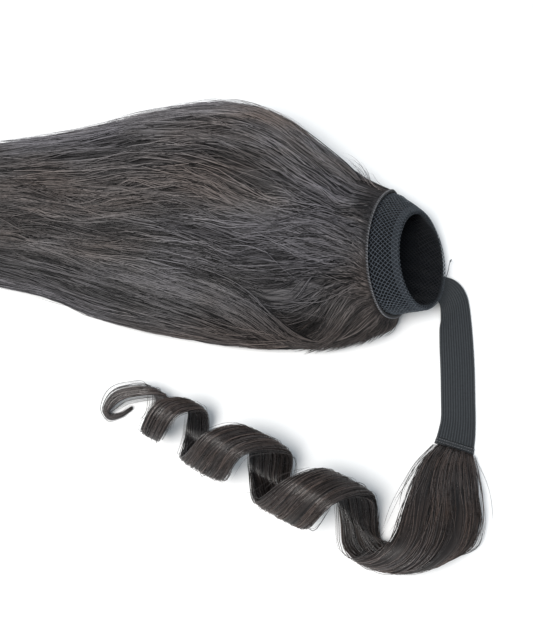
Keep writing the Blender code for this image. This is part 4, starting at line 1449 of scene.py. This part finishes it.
def make_weft(settings):
    """The folded weft at the strap's end, with two rows of light stitches along it."""
    left, right = (line[-1] for line in strap_lines(2))
    across = unit(right - left)
    down = np.array([across[1], -across[0], 0.0])
    share = np.linspace(0, 1, WEFT_STATIONS)
    middle = down[None, :] * (SEWN_GAP + WEFT_LENGTH * share[:, None])
    bulge = across[None, :] * (0.1 + 0.3 * share[:, None])
    a = np.linspace(0, 1, WEFT_POINTS)
    edge = np.clip(np.minimum(a, 1 - a) / 0.05, 0, 1) ** 0.5
    fold = 0.62 + 0.20 * np.sin(math.pi * np.clip(share * 1.15, 0, 1)) - 0.10 * np.exp(
        -(((share - 0.45) / 0.1) ** 2)
    )
    rise = fold[:, None] * (0.5 + 0.5 * edge[None, :])
    rings = flat_band(left + middle - bulge, right + middle + bulge, WEFT_THICKNESS, rise)
    finish = woven_finish("folded_weft", WEFT_DARK, settings.tape_colour, 60.0, 24.0,
                          depth=0.0003, roughness=0.75)
    shell("folded_weft", rings, end_centres(rings), finish, "thread", "wrap_weft")
    count = WEFT_STITCHES
    rng = np.random.default_rng(settings.seed + 5)
    paths = []
    for row in WEFT_STITCH_ROWS:
        jitter = rng.uniform(-WEFT_STITCH_JITTER, WEFT_STITCH_JITTER, count)
        centre = (np.arange(count) + 0.5 + jitter) / count
        t = np.linspace(-0.5, 0.5, WEFT_STITCH_POINTS)
        along = centre[:, None] + t[None, :] * WEFT_STITCH_SHARE / count
        base = left + down * (SEWN_GAP + WEFT_LENGTH * row)
        line = base + (right - left) * along[..., None]
        high = np.interp(row, share, fold) * WEFT_THICKNESS
        line[..., 2] = high + WEFT_STITCH_HEIGHT - WEFT_STITCH_SINK * (2 * t[None, :]) ** 4
        paths.append(line)
    paths = np.concatenate(paths)
    outward = np.broadcast_to(np.array([0.0, 0.0, 1.0]), paths.shape)
    thread = yarn_finish("weft_thread", WEFT_STITCH_DARK, settings.stitch_colour, 0.6)
    width = np.full(paths.shape[:2], WEFT_STITCH_WIDTH)
    tint = rng.random(len(paths))
    made = strand_object("weft_stitches", paths, width, outward, tint, thread, sides=4)
    attach(made, "thread")


# The wrap lock


@functools.lru_cache(maxsize=1)
def lock_surface():
    """Spine, side and outward directions, half width, arch and thickness of the wrap lock at even
    stations, and its length. The ringlet turns about its own axis by the table's quarter turns."""
    angle = math.radians(RINGLET_AXIS_ANGLE)
    along = np.array([math.cos(angle), math.sin(angle), 0.0])
    across = np.array([-along[1], along[0], 0.0])
    turn = table_of(RINGLET, RINGLET_COLUMNS)
    quarter = FULL_TURN * turn["turn"]
    hub = np.outer(turn["along"], along) + np.outer(turn["across"], across)
    hub[:, 2] = turn["radius"] + turn["thickness"] / 2
    out = np.outer(np.sin(quarter), across)
    out[:, 2] = np.cos(quarter)
    curl = hub + out * turn["radius"][:, None]
    half = np.outer(turn["width"] / 2, along)
    plain = np.stack([np.zeros(len(quarter)), turn["thickness"]], -1)
    rows = np.concatenate([FLARE, np.hstack([curl + half, curl - half, plain]), TIP])
    knots = lengths_along((rows[:, 0:3] + rows[:, 3:6]) / 2)
    even = spline(rows, knots, np.linspace(0.0, knots[-1], LOCK_GRID))
    lead, trail = even[:, 0:3], even[:, 3:6]
    spine = (lead + trail) / 2
    side = unit(lead - trail)
    outward = unit(np.cross(side, np.gradient(spine, axis=0)))
    half_width = np.linalg.norm(lead - trail, axis=1) / 2
    return spine, side, outward, half_width, even[:, 6], even[:, 7], knots[-1]


def on_lock(share, across, face, lift):
    """Points on the lock at a share of its length: across runs from -1 at the trailing edge to 1
    at the leading one, face is 1 outside and -1 inside, and lift stands off the surface."""
    spine, side, outward, half_width, arch, thickness, _ = lock_surface()
    at = np.clip(share, 0, 1) * (LOCK_GRID - 1)
    stations = np.arange(LOCK_GRID)

    def read(values):
        if values.ndim == 1:
            return np.interp(at, stations, values)
        return np.stack([np.interp(at, stations, values[:, k]) for k in range(3)], -1)

    out = unit(read(outward))
    body = np.clip(1 - np.abs(across) ** 2.5, 0, 1) ** 0.5
    stand = read(arch) * (1 - np.clip(across**2, 0, 1.5))
    stand = stand + face * (read(thickness) / 2 * body + lift)
    beside = read(side) * (read(half_width) * across)[..., None]
    points = read(spine) + beside + out * stand[..., None]
    keep_above(points, LOWEST_STRAND)
    return points, out * np.asarray(face)[..., None]


def make_lock_body(settings):
    """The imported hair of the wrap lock: a lens-shaped section carried along it, with grooves."""
    share = np.linspace(0.0, 1.0, LOCK_BODY_STATIONS)
    angle = np.arange(LOCK_BODY_POINTS) / LOCK_BODY_POINTS * FULL_TURN
    rng = np.random.default_rng(settings.seed + 6)
    spine, side, outward, half_width, arch, thickness, _ = lock_surface()
    pick = np.linspace(0, LOCK_GRID - 1, LOCK_BODY_STATIONS).astype(int)
    across = signed_power(np.cos(angle), LOCK_SQUARENESS)
    rise = signed_power(np.sin(angle), LOCK_SQUARENESS)
    groove = 1 + 0.28 * rng.normal(0, 1, LOCK_BODY_POINTS)
    ending = 1 - 0.45 * eased(share, 0.88, 0.99)
    thick = np.maximum(thickness[pick] - LOCK_INSET, 0.5) * ending
    narrow = np.maximum(half_width[pick] - LOCK_INSET, 0.4) * ending
    stand = np.outer(thick / 2, rise * groove) + np.outer(arch[pick], 1 - across**2)
    rings = (
        spine[pick][:, None]
        + side[pick][:, None] * np.outer(narrow, across)[:, :, None]
        + outward[pick][:, None] * stand[:, :, None]
    )
    keep_above(rings)
    # Half the lock's colour: painted shade of the hair under its strands
    finish = body_finish("packed_lock_hair", settings, 70.0, 8.0, np.array(LOCK_SHADE) * 0.5)
    shell("lock_body", rings, end_centres(rings), finish, "hair", "wrap_lock")


def lock_strands(rng, count, stations, span, edge, lift_span, width_span, begins=(-0.25, 1.0)):
    """Strands along the lock: each keeps its place across it but for slow waves, on the outside or
    the inside, over its own span of the length. They reach to the edge, where 1 is the lock's own.
    The streaks, a sum of sines of the place across, are how light each strand is beside its
    neighbours."""
    length = lock_surface()[-1]
    first = rng.uniform(begins[0], begins[1] - span[0] * 0.6, count).clip(0.0, 1.0)
    last = np.minimum(first + rng.uniform(*span, count), 1.0)
    t = np.linspace(0, 1, stations)[None, :]
    share = first[:, None] + (last - first)[:, None] * t
    face = np.where(rng.random(count) < OUTER_SHARE, 1.0, -1.0)[:, None] * np.ones_like(share)
    place = rng.uniform(-1, 1, count) * edge
    across = place[:, None] + wander(rng, count, share * length, LOCK_WAVES)
    across = across * (1 + 0.5 * eased(share, 0.93, 1.0))
    own = rng.uniform(*lift_span, count)[:, None]
    lift = own + wander(rng, count, share * length, LOCK_RISES)
    points, outward = on_lock(share, across, face, lift)
    width = rng.uniform(*width_span, count)
    sewn = (first[:, None] == 0.0) & (t < 0.3)
    widths = np.where(sewn, width[:, None], tapered(width, stations, 0.08, 0.2))
    streaks = 1 + sum(size * np.sin(rate * place + rate + 2.2 * face[:, 0] + 6 * first)
                      for rate, size in LOCK_STREAKS)
    # The lift returned is what the painted shade reads, raised where strands are sewn in
    return points, widths, outward, lift + 0.5 * sewn, face, streaks


def make_lock_strands(settings):
    """Strands over both faces of the wrap lock, and thin loose ones that leave its edges."""
    rng = np.random.default_rng(settings.seed + 7)
    finish = strand_finish("lock_strand", settings, lift=LOCK_SHADE, warmth=1.0, specular=0.8,
                           matt=0.68)
    wide = settings.strand_width
    paths, widths, outward, lift, face, streaks = lock_strands(
        rng, LOCK_STRANDS, LOCK_STRAND_POINTS, (0.06, 0.15), 0.99, (-0.3, 0.7),
        (wide * 0.5, wide * 0.9),
    )
    tuft = np.arange(LOCK_STRANDS) // LOCK_STRANDS_PER_TUFT
    shade = tints(rng, LOCK_STRANDS, tuft, lift, -0.6, 0.5, 0.12, 0.17)
    # Painted shade: strands on the inside face are darker
    shade = np.where(face > 0, shade, shade * INNER_PAINTED_SHADE) * streaks[:, None]
    made = strand_object("lock_strands", paths, widths, outward, shade, finish)
    attach(made, "hair", "wrap_lock")
    loose = strand_finish("loose_lock_hair", settings, lift=0.6, warmth=1.0)
    edges, tip = lock_strands(rng, *LOCK_EDGE_HAIRS), lock_strands(rng, *LOCK_TIP_HAIRS)
    paths, widths, outward = (np.concatenate(both) for both in list(zip(edges, tip))[:3])
    tint = rng.uniform(0.2, 1, len(paths))
    made = strand_object("lock_flyaways", paths, widths, outward, tint, loose)
    attach(made, "hair")


# Stage


def aim_from(made, place, direction):
    """Sets an object at a place and turns it to look back against a direction."""
    made.location = place
    made.rotation_euler = (-direction).to_track_quat("-Z", "Y").to_euler()


def make_stage(settings):
    """Camera at the photograph's place, a pale table, a soft lamp from the lower left, and a pale
    sky that fills the shadows."""
    scene = bpy.context.scene
    scene.view_settings.view_transform = "Standard"
    target = Vector(row_shift() * MM)
    tilt = math.radians(CAMERA_ELEVATION)
    camera = bpy.data.cameras.new("photo_camera")
    camera.sensor_width = SENSOR_WIDTH
    camera.lens = SENSOR_WIDTH * CAMERA_DISTANCE / (MM_PER_PIXEL * PHOTO_HEIGHT)
    camera.clip_start, camera.clip_end = CLIP_RANGE
    scene.camera = link_object("photo_camera", camera)
    back = Vector((0.0, -math.cos(tilt), math.sin(tilt)))
    aim_from(scene.camera, target + back * CAMERA_DISTANCE * MM, back)

    lamp = bpy.data.lights.new("soft_lamp", "AREA")
    lamp.shape = "DISK"
    lamp.size = LAMP_SIZE
    lamp.energy = settings.lamp_power
    lamp.color = LAMP_COLOUR
    step = Vector(LAMP_PLACE)
    aim_from(link_object("soft_lamp", lamp), target + step, step)

    world = bpy.data.worlds.new("pale_sky")
    world.use_nodes = True
    sky = world.node_tree.nodes["Background"]
    sky.inputs["Color"].default_value = opaque(SKY_COLOUR)
    sky.inputs["Strength"].default_value = settings.sky_strength
    scene.world = world
    table = make_table(settings)


def make_table(settings):
    """The pale table: a square grid whose height is a faint product of a sine and a cosine, never
    above nought."""
    count = TABLE_POINTS
    side = np.linspace(-TABLE_REACH, TABLE_REACH, count)
    x, y = np.meshgrid(side, side)
    z = TABLE_WAVE * (np.sin(7 * x) * np.cos(9 * y) - 1.0)
    mesh = bpy.data.meshes.new("table_top")
    i, j = np.meshgrid(np.arange(count - 1), np.arange(count - 1), indexing="ij")
    corner = (i * count + j).ravel()
    quads = np.stack([corner, corner + 1, corner + count + 1, corner + count], -1)
    mesh.from_pydata(np.stack([x, y, z], -1).reshape(-1, 3).tolist(), [], quads.tolist())
    mesh.update()
    mesh.shade_smooth()
    made, tree, shader = new_material("pale_table", 0.6, 0.2)
    mottle = noise(tree, texture_place(tree), Scale=6.0, Detail=4.0)
    white = opaque(settings.table_colour)
    dimmer = opaque([c * 0.985 for c in settings.table_colour])
    tree.links.new(colour_mix(tree, mottle, white, dimmer), shader.inputs["Base Color"])
    mesh.materials.append(made)
    return link_object("table_top", mesh)


# Settings


def colour_property(name, description, default):
    """A colour that the user can pick."""
    return FloatVectorProperty(name=name, description=description, default=default,
                               subtype="COLOR", min=0, max=1)


def seed_property(default):
    """The start of a random sequence."""
    return IntProperty(name="Seed", description="Start of the random draws", default=default)


class HairSettings(PropertyGroup):
    """Widths and colours of the hair"""

    strand_width: FloatProperty(name="Strand width", description="Width of a drawn strand, in mm",
                                default=0.52, min=0.05, max=2.0)
    dark_colour: colour_property("Dark hair", "Colour of the darkest strands",
                                 (0.006, 0.0055, 0.006))
    light_colour: colour_property("Light hair", "Colour of the lightest strands",
                                  (0.187, 0.175, 0.179))
    warm_colour: colour_property("Warm patches", "Tone that warms the patches", (1.0, 0.87, 0.77))
    seed: seed_property(20)


class NetSettings(PropertyGroup):
    """Sizes and colour of the net"""

    yarn_count: IntProperty(name="Yarns", description="Yarns round the net in each direction",
                            default=74, min=20, max=200)
    cell_length: FloatProperty(name="Cell length", description="Length of a diamond cell, in mm",
                               default=2.9, min=0.5, max=20.0)
    yarn_width: FloatProperty(name="Yarn width", description="Width of one yarn, in mm",
                              default=0.38, min=0.05, max=3.0)
    yarn_colour: colour_property("Yarn", "Colour of the net's yarn", (0.115, 0.132, 0.155))
    seed: seed_property(40)


class TrimSettings(PropertyGroup):
    """Sizes and colours of the strap, the bands and the stitches"""

    rib_count: IntProperty(name="Ribs", description="Ribs across the strap",
                           default=14, min=2, max=40)
    rib_height: FloatProperty(name="Rib height", description="Height of a rib, in mm",
                              default=0.5, min=0.0, max=1.0)
    tape_colour: colour_property("Tape", "Colour of the strap's tape", (0.027, 0.032, 0.037))
    band_colour: colour_property("Band", "Colour of the stitched bands", (0.022, 0.022, 0.024))
    stitch_colour: colour_property("Stitches", "Colour of the stitch thread", (0.21, 0.21, 0.225))
    stitch_count: IntProperty(name="Stitches", description="Stitches round the seam band",
                              default=130, min=10, max=400)
    seed: seed_property(60)


class StageSettings(PropertyGroup):
    """Light and table"""

    lamp_power: FloatProperty(name="Lamp", description="Power of the soft lamp, in watts",
                              default=20.5, min=0.0, subtype="POWER")
    sky_strength: FloatProperty(name="Sky", description="Strength of the pale sky",
                                default=0.56, min=0.0)
    table_colour: colour_property("Table", "Colour of the table top", (0.93, 0.93, 0.93))


# Operators


class HAIRPIECE_OT_stage(Operator):
    """Set up the camera, the table, the lamp and the sky"""

    bl_idname = "hairpiece.stage"
    bl_label = "Stage"

    def execute(self, context):
        make_stage(context.scene.hairpiece_stage)
        return {"FINISHED"}


class HAIRPIECE_OT_net(Operator):
    """Make the net collar's yarns, its lining in painted shade and its hem"""

    bl_idname = "hairpiece.net"
    bl_label = "Net collar"

    def execute(self, context):
        yarns = make_net(context.scene.hairpiece_net)
        hem = make_hem()
        make_lining()
        return {"FINISHED"}


class HAIRPIECE_OT_seam(Operator):
    """Make the band round the seam, its stitches and the stray thread"""

    bl_idname = "hairpiece.seam"
    bl_label = "Seam band"

    def execute(self, context):
        make_seam_band(context.scene.hairpiece_trim)
        make_stray_thread()
        return {"FINISHED"}


class HAIRPIECE_OT_tail(Operator):
    """Make the fall of hair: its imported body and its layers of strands"""

    bl_idname = "hairpiece.tail"
    bl_label = "Ponytail"

    def execute(self, context):
        make_tail_body(context.scene.hairpiece_hair)
        make_tail_strands(context.scene.hairpiece_hair)
        make_flyaways(context.scene.hairpiece_hair)
        return {"FINISHED"}


class HAIRPIECE_OT_strap(Operator):
    """Make the ribbed strap"""

    bl_idname = "hairpiece.strap"
    bl_label = "Strap"

    def execute(self, context):
        make_strap(context.scene.hairpiece_trim)
        return {"FINISHED"}


class HAIRPIECE_OT_weft(Operator):
    """Make the folded weft at the strap's end and its stitches"""

    bl_idname = "hairpiece.weft"
    bl_label = "Weft"

    def execute(self, context):
        make_weft(context.scene.hairpiece_trim)
        return {"FINISHED"}


class HAIRPIECE_OT_wrap_lock(Operator):
    """Make the wrap lock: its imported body, its strands and its loose hairs"""

    bl_idname = "hairpiece.wrap_lock"
    bl_label = "Wrap lock"

    def execute(self, context):
        make_lock_body(context.scene.hairpiece_hair)
        make_lock_strands(context.scene.hairpiece_hair)
        return {"FINISHED"}


class HAIRPIECE_PT_panel(Panel):
    """Lists the settings and the steps in order"""

    bl_idname = "HAIRPIECE_PT_panel"
    bl_label = "Hairpiece"
    bl_space_type = "VIEW_3D"
    bl_region_type = "UI"
    bl_category = "Hairpiece"

    def draw(self, context):
        scene = context.scene
        for group in (scene.hairpiece_stage, scene.hairpiece_net, scene.hairpiece_trim,
                      scene.hairpiece_hair):
            box = self.layout.box()
            for name in group.__annotations__:
                box.prop(group, name)
        for operator in OPERATORS:
            self.layout.operator(operator.bl_idname)


SETTINGS = {
    "hairpiece_hair": HairSettings,
    "hairpiece_net": NetSettings,
    "hairpiece_trim": TrimSettings,
    "hairpiece_stage": StageSettings,
}
OPERATORS = (
    HAIRPIECE_OT_stage,
    HAIRPIECE_OT_net,
    HAIRPIECE_OT_seam,
    HAIRPIECE_OT_tail,
    HAIRPIECE_OT_strap,
    HAIRPIECE_OT_weft,
    HAIRPIECE_OT_wrap_lock,
)


def register():
    """Makes the classes and the scene's settings known to Blender."""
    for made in (*SETTINGS.values(), *OPERATORS, HAIRPIECE_PT_panel):
        bpy.utils.register_class(made)
    for name, group in SETTINGS.items():
        setattr(bpy.types.Scene, name, PointerProperty(type=group))


def unregister():
    """Takes them away again."""
    for name in SETTINGS:
        delattr(bpy.types.Scene, name)
    for made in (HAIRPIECE_PT_panel, *reversed(OPERATORS), *reversed(SETTINGS.values())):
        bpy.utils.unregister_class(made)


def main():
    """Runs the steps in order."""
    register()
    bpy.ops.hairpiece.stage()
    bpy.ops.hairpiece.net()
    bpy.ops.hairpiece.seam()
    bpy.ops.hairpiece.tail()
    bpy.ops.hairpiece.strap()
    bpy.ops.hairpiece.weft()
    bpy.ops.hairpiece.wrap_lock()


if __name__ == "__main__":
    main()
